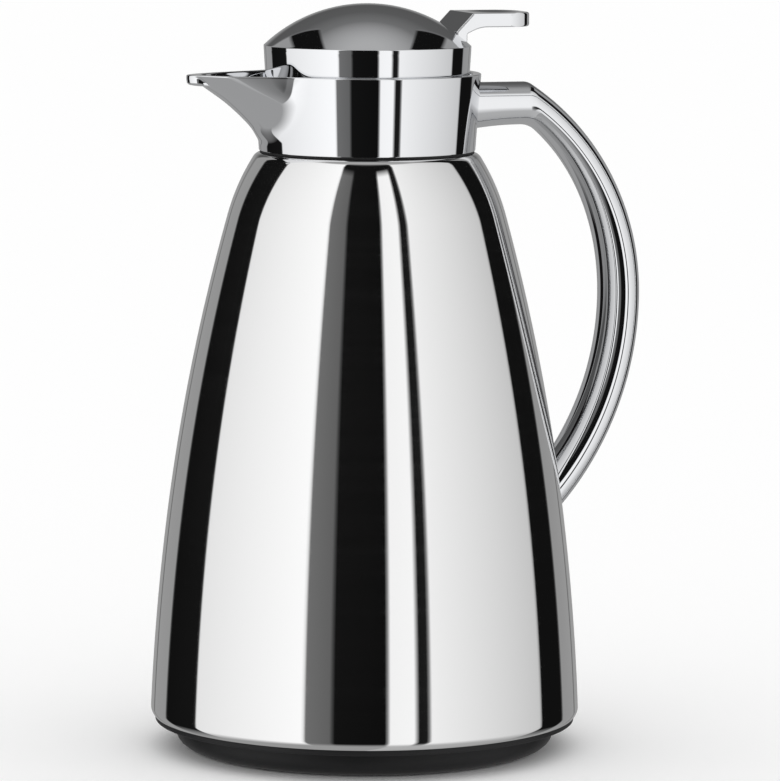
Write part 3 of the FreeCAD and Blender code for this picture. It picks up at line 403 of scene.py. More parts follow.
# Pressed rubber: the dullest and coarsest of the three
rubber = moulding("black_rubber", "121212", "181818", rough=0.75, gloss=0.3, grain_mm=1.0, depth=0.08)
print("mouldings:", black_plastic.name, silicone.name, rubber.name)

# %% [markdown]
# ## From arrays to meshes
# Each surface below is an array of points with rows and columns. One function turns such patches into a mesh:
# it numbers the points, makes a quad of every four neighbours, welds poles and seams, puts a flat face on an
# end that is still open, turns the faces outwards and marks edges sharp where the surface really has a
# corner.

# %% Mesh builder
WELD = 0.002
SHARP_ANGLE = 32.0


def lay_faces(points, wrap_rows, wrap_columns, first):
    """Quads between neighbours in a grid of points, closed round where a wrap is asked for."""
    rows, columns = points.shape[:2]
    number = first + np.arange(rows * columns).reshape(rows, columns)
    if wrap_rows:
        number = np.vstack([number, number[:1]])
    if wrap_columns:
        number = np.hstack([number, number[:, :1]])
    corners = [number[:-1, :-1], number[:-1, 1:], number[1:, 1:], number[1:, :-1]]
    return np.stack(corners, axis=-1).reshape(-1, 4)


def make_mesh(name, patches):
    """Closed mesh from patches of (points in mm, wrap rows, wrap columns)."""
    places = []
    faces = []
    first = 0
    for points, wrap_rows, wrap_columns in patches:
        faces.append(lay_faces(points, wrap_rows, wrap_columns, first))
        places.append(points.reshape(-1, 3))
        first += len(places[-1])
    mesh = bpy.data.meshes.new(name)
    mesh.from_pydata((np.vstack(places) * MM).tolist(), [], np.vstack(faces).tolist())
    work = bmesh.new()
    work.from_mesh(mesh)
    bmesh.ops.remove_doubles(work, verts=work.verts, dist=WELD * MM)
    bmesh.ops.holes_fill(work, edges=[edge for edge in work.edges if edge.is_boundary])
    bmesh.ops.recalc_face_normals(work, faces=work.faces)
    work.to_mesh(mesh)
    work.free()
    return mesh


def make_piece(name, patches, material, body, nodes, sharp=SHARP_ANGLE):
    """Piece from patches of points: smooth apart from its sharp edges, riding on a body in place of nodes."""
    piece = bpy.data.objects.new(name, make_mesh(name, patches))
    bpy.context.scene.collection.objects.link(piece)
    piece.data.materials.append(material)
    piece.data.shade_smooth()
    piece.data.set_sharp_from_angle(angle=np.radians(sharp))
    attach(piece, body)
    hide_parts(*nodes)
    print("%-22s %6d faces" % (piece.name, len(piece.data.polygons)))
    return piece


# %% [markdown]
# ## The steel body
# The jacket is spun from one sheet: a rolled lip, three long arcs that lean in more and more, and a rounded
# shoulder. On the lathe that is one outline turned round, so it is made the same way here. The arcs are
# tangent to each other, worked out from heights and tilts, so the reflected bands run from shoulder to lip
# without a break.

# %% Turned surfaces
FULL_TURN = 2 * np.pi
ROUND_COLUMNS = 240


def lathe(profile, angle=np.linspace(0, FULL_TURN, ROUND_COLUMNS, endpoint=False)):
    """Surface of revolution: (r cos a, r sin a, z) for each profile point (r, z) and angle a."""
    r, z = profile[:, :1], profile[:, 1:]
    return np.stack(np.broadcast_arrays(r * np.cos(angle), r * np.sin(angle), z), axis=-1)


def arc(centre, radius, start, end, count):
    """Points of an arc: centre + radius (cos t, sin t), t from start to end."""
    t = np.linspace(start, end, count)
    return np.column_stack([centre[0] + radius * np.cos(t), centre[1] + radius * np.sin(t)])


def box_mm(node):
    """Lowest and highest corner of a node of the model, in millimetres."""
    low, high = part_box(node)
    return np.array(low) / MM, np.array(high) / MM


# %% Arcs of the steel body
BODY_TOP_R = 36.6
BODY_TOP_Z = box_mm("body_shell")[1][2]
# Height where each arc ends, from the shoulder down, and by how many degrees it faces upwards there
BODY_SPANS = [(206.9, 32.0), (187.0, 15.5), (79.0, 6.9)]
LIP_R = 74.0
LIP_RAISE = 0.3
LIP_Z = box_mm("body_shell")[0][2] + LIP_RAISE
LIP_ROUND = 4.0
LIP_TILT = np.radians(-42.0)


def body_arcs():
    """Centre, radius, start tilt and end tilt of each arc, from the lip up.

    A point is centre + radius (cos t, sin t), and each arc goes on with the tilt of the one above it. The
    lowest long one runs into the lip's roll: the two centres lie the difference of the radii apart.
    """
    arcs = []
    r, z, tilt = BODY_TOP_R, BODY_TOP_Z, np.pi / 2
    for low_z, low_tilt in BODY_SPANS:
        low = np.radians(low_tilt)
        radius = (z - low_z) / (np.sin(tilt) - np.sin(low))
        centre = (r - radius * np.cos(tilt), z - radius * np.sin(tilt))
        arcs.append((centre, radius, low, tilt))
        r, z, tilt = centre[0] + radius * np.cos(low), low_z, low
    roll = (LIP_R - LIP_ROUND * np.cos(LIP_TILT), LIP_Z - LIP_ROUND * np.sin(LIP_TILT))
    gap = np.array([r - roll[0], z - roll[1]])
    slope = gap @ np.array([np.cos(tilt), np.sin(tilt)])
    radius = (gap @ gap - LIP_ROUND ** 2) / (2 * (slope - LIP_ROUND))
    centre = (r - radius * np.cos(tilt), z - radius * np.sin(tilt))
    foot_tilt = np.arctan2(roll[1] - centre[1], roll[0] - centre[0])
    arcs.append((centre, radius, foot_tilt, tilt))
    arcs.append((roll, LIP_ROUND, LIP_TILT, foot_tilt))
    return arcs[::-1]


BODY_ARCS = body_arcs()
print("body arcs in mm:", [round(radius, 1) for _, radius, _, _ in BODY_ARCS])

# %% Turn the steel body
BODY_WALL = 0.8
BODY_HOLE_R = 28.4
ARC_POINTS = [9, 40, 60, 24, 9]


def body_outline(inset):
    """The arcs as one row of points, moved in by the inset."""
    rows = []
    for (centre, radius, start, end), count in zip(BODY_ARCS, ARC_POINTS):
        rows.append(arc(centre, radius - inset, start, end, count))
    return np.vstack(rows)


def body_radius(z):
    """Radius of the jacket at heights z, from the arc whose span holds the height.

    With s the sine of the tilt, (z - centre's height) / radius, it is centre + radius sqrt(1 - s^2).
    """
    inside = []
    radii = []
    for centre, radius, start, end in BODY_ARCS:
        sine = (z - centre[1]) / radius
        inside.append((sine >= np.sin(start)) & (sine <= np.sin(end)))
        radii.append(centre[0] + radius * np.sqrt(np.clip(1 - sine ** 2, 0, 1)))
    return np.select(inside, radii)


shoulder = np.array([[BODY_HOLE_R, BODY_TOP_Z], [BODY_HOLE_R, BODY_TOP_Z - BODY_WALL]])
jacket = np.vstack([body_outline(0), shoulder, body_outline(BODY_WALL)[::-1]])
make_piece(
    "steel_body", [(lathe(jacket), True, True)], polished_steel, "carafe", ["body_shell"]
)

# %% [markdown]
# ## The black base
# A moulded dish that snaps into the lip: a rounded sole, a low wall, a thin flange that sticks out under the
# steel's edge, and a plug inside. It is turned like the jacket, with every corner rounded as a mould would
# leave it.

# %% Rounded outlines
SUPPORT = 0.12


def rounded(corners, steps=7):
    """Closed outline through (across, up, round) corners, each an arc that touches both of its sides.

    In a corner of half angle h an arc of radius r starts r / tan h from the corner, with its centre r / sin h
    from it. Extra points close to the arcs keep the flats between them flat under smooth shading.
    """
    corners = np.array(corners, float)
    tip, radius = corners[:, :2], corners[:, 2:]
    before = np.roll(tip, 1, axis=0) - tip
    after = np.roll(tip, -1, axis=0) - tip
    before /= np.linalg.norm(before, axis=1, keepdims=True)
    after /= np.linalg.norm(after, axis=1, keepdims=True)
    half = np.arccos(np.sum(before * after, axis=1, keepdims=True)) / 2
    middle = before + after
    middle /= np.linalg.norm(middle, axis=1, keepdims=True)
    reach = radius / np.tan(half)
    centre = tip + middle * radius / np.sin(half)
    start = tip + before * reach - centre
    end = tip + after * reach - centre
    sweep = (np.pi - 2 * half)[:, None]
    t = np.linspace(0, 1, steps)[None, :, None]
    bend = (np.sin((1 - t) * sweep) * start[:, None] + np.sin(t * sweep) * end[:, None]) / np.sin(sweep)
    lead_in = (tip + before * (reach + SUPPORT))[:, None]
    lead_out = (tip + after * (reach + SUPPORT))[:, None]
    return np.concatenate([lead_in, centre[:, None] + bend, lead_out], axis=1).reshape(-1, 2)


# %% Turn the base
PAD_GAP = 0.3
PAD_TOP = box_mm("foot_pad")[1][2]
PAD_HOLE_R = box_mm("foot_pad")[1][0] + PAD_GAP
SOLE_LIFT = 0.5
SOLE_ROUND = 5.5
WALL_R = 66.3
FLANGE_R = 73.5
FLANGE_GAP = 0.15
FLANGE_DEPTH = 2.0
FLANGE_TOP_Z = LIP_Z - FLANGE_GAP
FLANGE_LOW_Z = LIP_Z - FLANGE_DEPTH
FLANGE_SLOPE = 0.5
FLANGE_FALL = 0.01
PLUG_R = 71.8
PLUG_TOP_Z = box_mm("base_cap")[1][2]
PLUG_WALL = 2.5
PLUG_FLOOR = 0.5
FLOOR_TOP_Z = 5.4
MOULD_ROUND = 0.4
# Distance from the axis, height and rounding of each corner, from the middle of the sole outwards and back
base_outline = rounded([
    (0, PAD_TOP, 0),
    (PAD_HOLE_R, PAD_TOP, 0.3),
    (PAD_HOLE_R, SOLE_LIFT, 0.3),
    (WALL_R, SOLE_LIFT, SOLE_ROUND),
    (WALL_R, FLANGE_LOW_Z - FLANGE_SLOPE, 0.6),
    (FLANGE_R, FLANGE_LOW_Z, 0.5),
    (FLANGE_R, FLANGE_TOP_Z, 0.2),
    (PLUG_R, FLANGE_TOP_Z + FLANGE_FALL, 0.05),
    (PLUG_R, PLUG_TOP_Z, MOULD_ROUND),
    (PLUG_R - PLUG_WALL, PLUG_TOP_Z, MOULD_ROUND),
    (PLUG_R - PLUG_WALL, FLANGE_TOP_Z + PLUG_FLOOR, MOULD_ROUND),
    (WALL_R - PLUG_WALL, FLANGE_TOP_Z, MOULD_ROUND),
    (WALL_R - PLUG_WALL, FLOOR_TOP_Z, 0.6),
    (0, FLOOR_TOP_Z, 0),
])
base_outline[:, 0] = np.maximum(base_outline[:, 0], 0)
make_piece(
    "black_base", [(lathe(base_outline), True, True)], black_plastic, "carafe", ["base_cap"]
)

# %% [markdown]
# ## The collar and its spout
# The collar is a slightly flared ring that grows a long beak with a blunt nose. Seen from the axis, every
# direction meets the wall once, so the whole skin is one radius for each direction and height: the largest of
# ring, beak and nose, melted together where they meet so that the beak's flank flows out of the ring. The
# inside is made in the same way, a wall's thickness in. A thin skirt at the foot hides most of the gasket
# below.

# %% Sizes of the collar
COLLAR_Z, RIM_Z = box_mm("spout_collar")[0][2], box_mm("spout_collar")[1][2]
COLLAR_HEIGHT = RIM_Z - COLLAR_Z
COLLAR_FOOT_R = 37.6
COLLAR_RIM_R = 39.5
COLLAR_WALL = 2.9
SPOUT_WALL = 1.8
SPOUT_FLOOR = 2.2
# Drop below the rim, reach from the axis, radius at the tip, and how the flanks open (above 0) or close
BEAK_LEVELS = np.array([
    (0.0, 64.6, 6.6, 0.12),
    (4.5, 58.4, 9.6, 0.0),
    (9.5, 51.3, 13.0, -0.11),
    (14.0, 46.0, 15.4, -0.22),
    (18.0, 42.0, 16.7, -0.27),
    (22.5, 38.4, 17.5, -0.3),
    (26.5, 33.0, 20.0, -0.34),
])
# Drop below the rim and reach of the blunt nose
NOSE_LEVELS = np.array([(0.0, 65.0), (2.0, 64.9), (3.0, 64.5), (3.5, 63.4), (3.8, 61.0), (4.0, 57.0)])
NOSE_HALF = 5.0
NOSE_FOOT = NOSE_LEVELS[-1, 0]
# Widths over which the beak melts into the ring, the nose into the beak, and the hollow into the inside
BEAK_MELT = 2.5
NOSE_MELT = 0.8
HOLLOW_MELT = 1.0
print("collar %.1f mm high" % COLLAR_HEIGHT)


# %% Radii of ring, beak and nose
def smooth_through(x, points):
    """Cubic Hermite curve through (x, y...) points, with slopes taken from their neighbours."""
    at, values = points[:, 0], points[:, 1:]
    slopes = np.gradient(values, at, axis=0)
    i = np.clip(np.searchsorted(at, x) - 1, 0, len(at) - 2)
    span = (at[i + 1] - at[i])[:, None]
    t = np.clip((x - at[i])[:, None] / span, 0, 1)
    start = (1 + 2 * t) * (1 - t) ** 2 * values[i] + t * (1 - t) ** 2 * span * slopes[i]
    end = t ** 2 * (3 - 2 * t) * values[i + 1] + t ** 2 * (t - 1) * span * slopes[i + 1]
    return start + end


def ring_radius(drop):
    """Radius of the bare ring: a straight line from the rim's radius to the foot's."""
    return (COLLAR_RIM_R + (COLLAR_FOOT_R - COLLAR_RIM_R) * drop / COLLAR_HEIGHT)[:, None]


def beak_radius(drop, turn, wall):
    """Distance from the axis to the beak's skin, whose level sections are conics.

    At a distance s back from the tip the half width y is given by y^2 = 2 tip s + opening s^2. A ray at the
    turn has y = r sin turn and s = reach - r cos turn, which leaves one quadratic equation in r.
    """
    reach, tip, opening = smooth_through(drop, BEAK_LEVELS).T[:, :, None]
    reach, tip = reach - wall, tip - wall / 2
    turn = np.minimum(np.abs(turn), np.pi / 2)[None, :]
    square = np.sin(turn) ** 2 - opening * np.cos(turn) ** 2
    half_slope = (tip + opening * reach) * np.cos(turn)
    rest = (2 * tip + opening * reach) * reach
    return rest / (half_slope + np.sqrt(half_slope ** 2 + square * rest))


def nose_radius(drop, turn):
    """Distance from the axis to the nose, and nothing outside its circle or below it.

    Its level section is a circle of radius h round a point at the middle distance m, which a ray at the turn
    leaves at m cos turn + sqrt(h^2 - (m sin turn)^2).
    """
    middle = smooth_through(drop, NOSE_LEVELS) - NOSE_HALF
    turn = np.abs(turn)[None, :]
    inside = (turn < np.arctan2(NOSE_HALF, middle)) & (drop[:, None] < NOSE_FOOT)
    half_chord = np.sqrt(np.maximum(NOSE_HALF ** 2 - (middle * np.sin(turn)) ** 2, 0))
    return np.where(inside, middle * np.cos(turn) + half_chord, 0)


# %% Melt them together
def melted(a, b, width):
    """The larger of two radii, with the corner between them filled.

    Where they are d apart, and d is below the width, the fill is (width - d)^2 / (4 width).
    """
    near = np.maximum(width - np.abs(a - b), 0)
    return np.maximum(a, b) + near ** 2 / (4 * width)


def outer_skin(drop, turn):
    """Radius of the outside at each drop and turn: ring and beak melted, then the nose melted on."""
    beak = melted(ring_radius(drop), beak_radius(drop, turn, 0.0), BEAK_MELT)
    return melted(beak, nose_radius(drop, turn), NOSE_MELT)


def inner_skin(drop, turn):
    """Radius of the inside: the ring a wall in, melted with the beak's section a floor's thickness lower."""
    hollow = beak_radius(drop + SPOUT_FLOOR, turn, SPOUT_WALL)
    return melted(ring_radius(drop) - COLLAR_WALL, hollow, HOLLOW_MELT)


# %% Columns and rows of the collar
# Degrees from the beak's middle up to which the columns stand closest and close, and columns in each part
NOSE_TURN, NOSE_COLUMNS = 7, 40
BEAK_TURN, BEAK_COLUMNS = 50, 90
BACK_COLUMNS = 90
half_turns = np.radians(np.concatenate([
    np.linspace(0, NOSE_TURN, NOSE_COLUMNS, endpoint=False),
    np.linspace(NOSE_TURN, BEAK_TURN, BEAK_COLUMNS, endpoint=False),
    np.linspace(BEAK_TURN, 180, BACK_COLUMNS),
]))
turns = np.concatenate([half_turns, -half_turns[-2:0:-1]])

COLLAR_FLOOR = 3.0
RIM_ROUND = 0.45
SKIRT_HANG = 0.25
SKIRT_INNER_R = 37.33
SKIRT_BEVEL_IN = 0.1
SKIRT_BEVEL_UP = 0.12
SKIN_ROWS, NOSE_ROWS, TIP_ROWS, HOLLOW_ROWS, RIM_ROWS = 90, 26, 12, 80, 6
NOSE_MARGIN = 0.3
# Drops below the rim where the rows' spacing changes: the skirt's foot, under the nose, and the nose's bend
skirt_drop = COLLAR_HEIGHT + SKIRT_HANG
under_nose = NOSE_FOOT + NOSE_MARGIN
nose_bend = NOSE_LEVELS[2, 0]
skin_drop = np.concatenate([
    np.linspace(skirt_drop - SKIRT_BEVEL_UP, under_nose, SKIN_ROWS, endpoint=False),
    np.linspace(under_nose, nose_bend, NOSE_ROWS, endpoint=False),
    np.linspace(nose_bend, RIM_ROUND, TIP_ROWS, endpoint=False),
])
floor_drop = COLLAR_HEIGHT - COLLAR_FLOOR
hollow_drop = np.linspace(RIM_ROUND, floor_drop, HOLLOW_ROWS)[1:]
bend = np.linspace(0, np.pi / 2, RIM_ROWS)
edge_in = RIM_ROUND * (1 - np.cos(bend))
edge_drop = RIM_ROUND * (1 - np.sin(bend))
print("collar columns:", len(turns), "rows outside:", len(skin_drop), "inside:", len(hollow_drop))

# %% Build the collar
COLLAR_HOLE_R = 28.01


def collar_rows(radius, drop):
    """Points (-r cos turn, r sin turn, rim - drop): r for each row and turn, the drop for each row."""
    radius = np.broadcast_to(radius, (len(drop), len(turns)))
    z = np.broadcast_to(RIM_Z - drop[:, None], radius.shape)
    return np.stack([-radius * np.cos(turns), radius * np.sin(turns), z], axis=-1)


foot_r = np.array([COLLAR_HOLE_R, SKIRT_INNER_R, SKIRT_INNER_R, COLLAR_FOOT_R - SKIRT_BEVEL_IN])[:, None]
foot_drop = np.array([COLLAR_HEIGHT, COLLAR_HEIGHT, skirt_drop, skirt_drop])
collar_skin = np.vstack([
    collar_rows(foot_r, foot_drop),
    collar_rows(outer_skin(skin_drop, turns), skin_drop),
    collar_rows(outer_skin(edge_drop, turns) - edge_in[:, None], edge_drop),
    collar_rows(inner_skin(edge_drop[::-1], turns) + edge_in[::-1, None], edge_drop[::-1]),
    collar_rows(inner_skin(hollow_drop, turns), hollow_drop),
    collar_rows(np.array([[COLLAR_HOLE_R]]), np.array([floor_drop])),
])
make_piece(
    "chrome_collar", [(collar_skin, True, True)], chrome_plate, "carafe", ["spout_collar"]
)

# %% [markdown]
# ## The handle
# A hollow oval, wider than it is deep, that runs level out of the collar, bends and falls in two long arcs.
# Outside, the bend is almost a corner; inside it is wide, and the grip is slimmest there. A plain sweep has
# the same bend on both sides of its path, so every line along the handle gets its own path here: a straight
# run, a bend with its own radius, and arcs about common centres. It is moulded in two shells, and the seam
# between them runs the whole way. At the lower end each line stops where it meets the steel, which is found
# by halving the interval.

# %% Sizes of the handle
HALF_DEPTH = 7.5
HALF_WIDTH = 10.0
ARM_DROP = 11.3
ARM_Z = RIM_Z - ARM_DROP
ARM_START_X = 36.8
ARM_FLARE = 1.5
# Radius of the bend in the middle of the oval, and how much it loses for each millimetre outwards
BEND_R = 7.2
BEND_SPREAD = 0.37
BELLY_Z = 157.0
UPPER_R = 82.0
LOWER_R = 105.5
UPPER_X = box_mm("handle_outer")[1][0] - UPPER_R - HALF_DEPTH
LOWER_X = UPPER_X + UPPER_R - LOWER_R
# How much slimmer the grip is outside, and inside next to the bend
OUTER_SLIM = 1.0
INNER_SLIM = 2.2
BODY_GAP = 0.15
LOWEST_TURN = np.radians(150.0)
HALVINGS = 40
ARM_ROWS, BEND_ROWS, ARC_ROWS = 16, 24, 64
print("handle arm at %.1f mm" % ARM_Z)


# %% Path of the handle
def round_about(x, z, radius, turn):
    """Points (x + r sin turn, z + r cos turn); the turn counts from straight up towards the back."""
    return np.stack([x + radius * np.sin(turn), z + radius * np.cos(turn)], axis=-1)


def meeting_turn(radius, y):
    """Turn at which each line of the lower arc reaches the steel body, by halving the interval it lies in."""
    low = np.full(len(y), np.pi / 2)
    high = np.full(len(y), LOWEST_TURN)
    for _ in range(HALVINGS):
        middle = (low + high) / 2
        x, z = round_about(LOWER_X, BELLY_Z, radius, middle).T
        outside = np.hypot(x, y) > body_radius(z) + BODY_GAP
        low, high = np.where(outside, middle, low), np.where(outside, high, middle)
    return low


def sweep_handle(section):
    """Rows of points along the handle for a section of (depth outwards, y) points.

    A bend of radius b joins the level line at depth d to an arc of radius R: its centre lies b below the line
    and R - b from the arc's centre.
    """
    depth, y = section.T
    inner = np.maximum(-depth, 0) / HALF_DEPTH
    slim = depth - OUTER_SLIM * np.maximum(depth, 0) / HALF_DEPTH
    bend = BEND_R - BEND_SPREAD * depth
    bend_z = ARM_Z + depth - bend
    to_bend = UPPER_R + slim + INNER_SLIM * inner - bend
    bend_x = UPPER_X + np.sqrt(to_bend ** 2 - (bend_z - BELLY_Z) ** 2)
    bend_turn = np.arctan2(bend_x - UPPER_X, bend_z - BELLY_Z)

    t = np.linspace(0, 1, ARM_ROWS, endpoint=False)[:, None]
    arm_x = ARM_START_X + (bend_x - ARM_START_X) * t
    arm_z = ARM_Z + depth - ARM_FLARE * inner * (1 - t) ** 2
    arm = np.stack([arm_x, arm_z], axis=-1)
    t = np.linspace(0, 1, BEND_ROWS, endpoint=False)[:, None]
    corner = round_about(bend_x, bend_z, bend, bend_turn * t)
    t = np.linspace(0, 1, ARC_ROWS, endpoint=False)[:, None]
    radius = UPPER_R + slim + INNER_SLIM * inner * np.cos(t * np.pi / 2) ** 2
    upper = round_about(UPPER_X, BELLY_Z, radius, bend_turn + (np.pi / 2 - bend_turn) * t)
    t = np.linspace(0, 1, ARC_ROWS)[:, None]
    turn = np.pi / 2 + (meeting_turn(LOWER_R + slim, y) - np.pi / 2) * t
    lower = round_about(LOWER_X, BELLY_Z, LOWER_R + slim, turn)
    flat = np.concatenate([arm, corner, upper, lower])
    return np.stack([flat[..., 0], np.broadcast_to(y, flat.shape[:2]), flat[..., 1]], axis=-1)


# %% Sweep the two shells
HANDLE_WALL = 2.2
SEAM_DEPTH = 3.2
SEAM_ROUND = 0.3
SECTION_POINTS = 72


def shell_section(outer_side):
    """Outer and inner row of one shell's section: ovals (h sin t, w cos t), the outer softened at the seam.

    Within the seam's rounding e of an end the outer row sinks by e - sqrt(e^2 - (e - d)^2) at a distance d.
    """
    rows = []
    for inset in (0, HANDLE_WALL):
        start = np.arcsin(SEAM_DEPTH / (HALF_DEPTH - inset))
        end = np.pi - start
        if not outer_side:
            start, end = end, start + FULL_TURN
        t = start + (end - start) * (1 - np.cos(np.linspace(0, np.pi, SECTION_POINTS))) / 2
        rows.append(np.column_stack([(HALF_DEPTH - inset) * np.sin(t), (HALF_WIDTH - inset) * np.cos(t)]))
    outer, inner = rows
    steps = np.linalg.norm(np.diff(outer, axis=0), axis=1)
    length = np.concatenate([[0], np.cumsum(steps)])
    from_end = np.minimum(length, length[-1] - length)
    short = np.maximum(SEAM_ROUND - from_end, 0)
    sink = SEAM_ROUND - np.sqrt(SEAM_ROUND ** 2 - short ** 2)
    inward = (inner - outer) / np.linalg.norm(inner - outer, axis=1, keepdims=True)
    return outer + sink[:, None] * inward, inner


for name, outer_side in (("outer", True), ("inner", False)):
    outer, inner = shell_section(outer_side)
    skin = sweep_handle(np.vstack([outer, inner[::-1]]))
    ends = [np.stack([row[:len(outer)], row[:len(outer) - 1:-1]]) for row in (skin[0], skin[-1])]
    patches = [(skin, False, True), (ends[0], False, False), (ends[1], False, False)]
    make_piece("chrome_handle_" + name, patches, chrome_plate, "carafe", ["handle_" + name])

# %% [markdown]
# ## The lid
# A spherical dome on a short skirt, moulded as a shell two millimetres thick, with a notch at the back for
# the lever. The crease between skirt and dome is nearly sharp, so a small arc that touches both is worked
# out. The outline could be turned whole and the notch sawn out afterwards; instead each ring of the turned
# surface simply starts and ends at the notch, which leaves clean edges, and strips between the two skins
# close them.

# %% Sizes of the lid
LID_LOW, LID_HIGH = box_mm("lid_shell")
LID_Z, LID_TOP_Z = LID_LOW[2], LID_HIGH[2]
LID_WALL = 2.0
LID_SKIRT_R = 35.2
DOME_RISE = 14.5
CREASE = np.array([36.05, LID_TOP_Z - DOME_RISE])
CREASE_ROUND = 0.35
DOME_R = (CREASE[0] ** 2 + DOME_RISE ** 2) / (2 * DOME_RISE)
DOME_CENTRE = np.array([0.0, LID_TOP_Z - DOME_R])
# The lever's pin, and the notch round the lever with its sill above the pin
PIN_X = 29.0
PIN_Z = CREASE[1] - 4.0
NOTCH_FRONT = 27.8
NOTCH_HALF = 13.4
NOTCH_LOW = PIN_Z + 2.7
NOTCH_CORNER_R = np.hypot(NOTCH_FRONT, NOTCH_HALF)
SILL_STEP = 0.1
# Rows on the skirt below the sill, at it and above it, on the crease, and on the dome beside the notch, at
# its corners and in front of it
LOW_ROWS, SILL_ROWS, HIGH_ROWS, CREASE_ROWS, SIDE_ROWS, CORNER_ROWS, DOME_ROWS = 8, 13, 6, 7, 12, 16, 50
print("dome radius %.2f mm" % DOME_R)


# %% Outline of the lid
def lid_outline(inset):
    """Skirt, crease arc and dome from the skirt's foot to the top, moved in by the inset.

    The crease arc's centre lies its radius inside the skirt's line, on a circle of the dome's radius less its
    own.
    """
    foot = np.array([LID_SKIRT_R - inset, LID_Z])
    crease = np.array([CREASE[0] - inset, CREASE[1]])
    along = (crease - foot) / np.linalg.norm(crease - foot)
    out = np.array([along[1], -along[0]])
    radius = DOME_R - inset
    reach = radius - CREASE_ROUND
    corner = crease - CREASE_ROUND * out - DOME_CENTRE
    lean = corner @ along
    centre = DOME_CENTRE + corner + along * (np.sqrt(lean ** 2 - corner @ corner + reach ** 2) - lean)
    start = np.arctan2(out[1], out[0])
    end = np.arctan2(*(centre - DOME_CENTRE)[::-1])
    skirt_top = centre + CREASE_ROUND * out
    skirt_z = np.concatenate([
        np.linspace(LID_Z + CREASE_ROUND, NOTCH_LOW, LOW_ROWS, endpoint=False),
        np.linspace(NOTCH_LOW, NOTCH_LOW + SILL_STEP, SILL_ROWS),
        np.linspace(NOTCH_LOW + SILL_STEP, skirt_top[1], HIGH_ROWS)[1:-1],
    ])
    skirt = foot + ((skirt_z - LID_Z) / along[1])[:, None] * along
    corner_turn = np.arccos(NOTCH_CORNER_R / radius)
    front_turn = np.arccos(NOTCH_FRONT / radius)
    dome_turns = np.concatenate([
        np.linspace(end, corner_turn, SIDE_ROWS, endpoint=False),
        np.linspace(corner_turn, front_turn, CORNER_ROWS),
        np.linspace(front_turn, np.pi / 2, DOME_ROWS)[1:],
    ])
    dome = DOME_CENTRE + radius * np.column_stack([np.cos(dome_turns), np.sin(dome_turns)])
    return np.vstack([skirt, arc(centre, CREASE_ROUND, start, end, CREASE_ROWS)[:-1], dome])


def notch_angle(outline):
    """Half angle of the notch at each outline point: the smaller of asin(half / r) and acos(front / r).

    It opens from nothing over the sill's step, and it is nothing in front of the notch.
    """
    r, z = outline.T
    to_side = np.arcsin(np.minimum(NOTCH_HALF / np.maximum(r, NOTCH_HALF), 1))
    to_front = np.arccos(np.minimum(NOTCH_FRONT / np.maximum(r, NOTCH_FRONT), 1))
    open_share = np.clip((z - NOTCH_LOW) / SILL_STEP, 0, 1)
    return np.minimum(to_side, to_front) * open_share


# %% Turn the lid
FOOT_ROWS = 5
# Edges of the notch that lie closer to its middle than this are shut
SHUT = 1e-6
outside, inside = lid_outline(0), lid_outline(LID_WALL)
foot_centre = (LID_SKIRT_R - CREASE_ROUND, LID_Z + CREASE_ROUND)
foot_arc = arc(foot_centre, CREASE_ROUND, -np.pi / 2, 0, FOOT_ROWS)[:-1]
profile = np.vstack([foot_arc, outside, inside[::-1]])
gap = np.concatenate([np.zeros(len(foot_arc)), notch_angle(outside), notch_angle(inside)[::-1]])[:, None]
lid_skin = lathe(profile, gap + (FULL_TURN - 2 * gap) * np.linspace(0, 1, ROUND_COLUMNS + 1))
patches = [(lid_skin, True, False)]
outer_rows = len(foot_arc) + np.arange(len(outside))
inner_rows = -1 - np.arange(len(inside))
for column in (0, -1):
    edge = np.stack([lid_skin[outer_rows, column], lid_skin[inner_rows, column]])
    cut = np.flatnonzero(np.abs(edge[0, :, 1]) > SHUT)
    patches.append((edge[:, cut[0] - 1:cut[-1] + 2], False, False))
make_piece("chrome_lid", patches, chrome_plate, "lid", ["lid_shell"])

# %% [markdown]
# ## The thumb lever
# One moulding: a dished tab with rounded corners, a short neck that slants down into the lid, and inside it a
# hub on the pin and a fork that lifts the valve. Its side view is an outline with rounded corners. Carried
# across the carafe, the outline shrinks a little at both ends to round the edges, and the tab's end draws
# back there to round its corners.

# %% Side views of the lever
TAB_TOP = PIN_Z + 15.3
TAB_LOW = TAB_TOP - 4.9
TAB_FRONT = 34.3
TAB_END = 57.5
HEEL_FRONT = 28.2
HEEL_BACK = PIN_X + 3.2
HEEL_LOW = PIN_Z + 3.9
# Distance from the axis, height and rounding of each corner, clockwise
LEVER_SIDE = [
    (TAB_FRONT, TAB_TOP, 0.7),
    (TAB_END, TAB_TOP, 0.8),
    (TAB_END, TAB_LOW, 0.8),
    (37.0, TAB_LOW, 12.0),
    (HEEL_BACK, PIN_Z + 8.2, 0.8),
    (HEEL_BACK, HEEL_LOW, 0.6),
    (HEEL_FRONT, HEEL_LOW, 0.6),
    (HEEL_FRONT, PIN_Z + 8.9, 0.7),
]
HUB_R = 3.2
HUB_TOP = HEEL_LOW + 0.4
HUB_SIDE = [
    (HEEL_BACK, HUB_TOP, 0.2),
    (HEEL_BACK, PIN_Z - HUB_R, 3.1),
    (PIN_X - HUB_R, PIN_Z - HUB_R, 3.1),
    (28.4, HUB_TOP, 0.2),
]
FORK_ROOT, FORK_TIP = 27.0, -2.9
FORK_TOP, FORK_LOW = PIN_Z - 2.0, PIN_Z - 5.0
FORK_SIDE = [
    (FORK_ROOT, FORK_TOP, 0.2),
    (FORK_ROOT, FORK_LOW, 0.2),
    (FORK_TIP, FORK_LOW, 1.4),
    (FORK_TIP, FORK_TOP, 1.4),
]
print("lever tab %.1f mm long" % (TAB_END - TAB_FRONT))

# %% Bars across the carafe
OUTLINE_STEP = 0.7
BAR_ROWS = 96


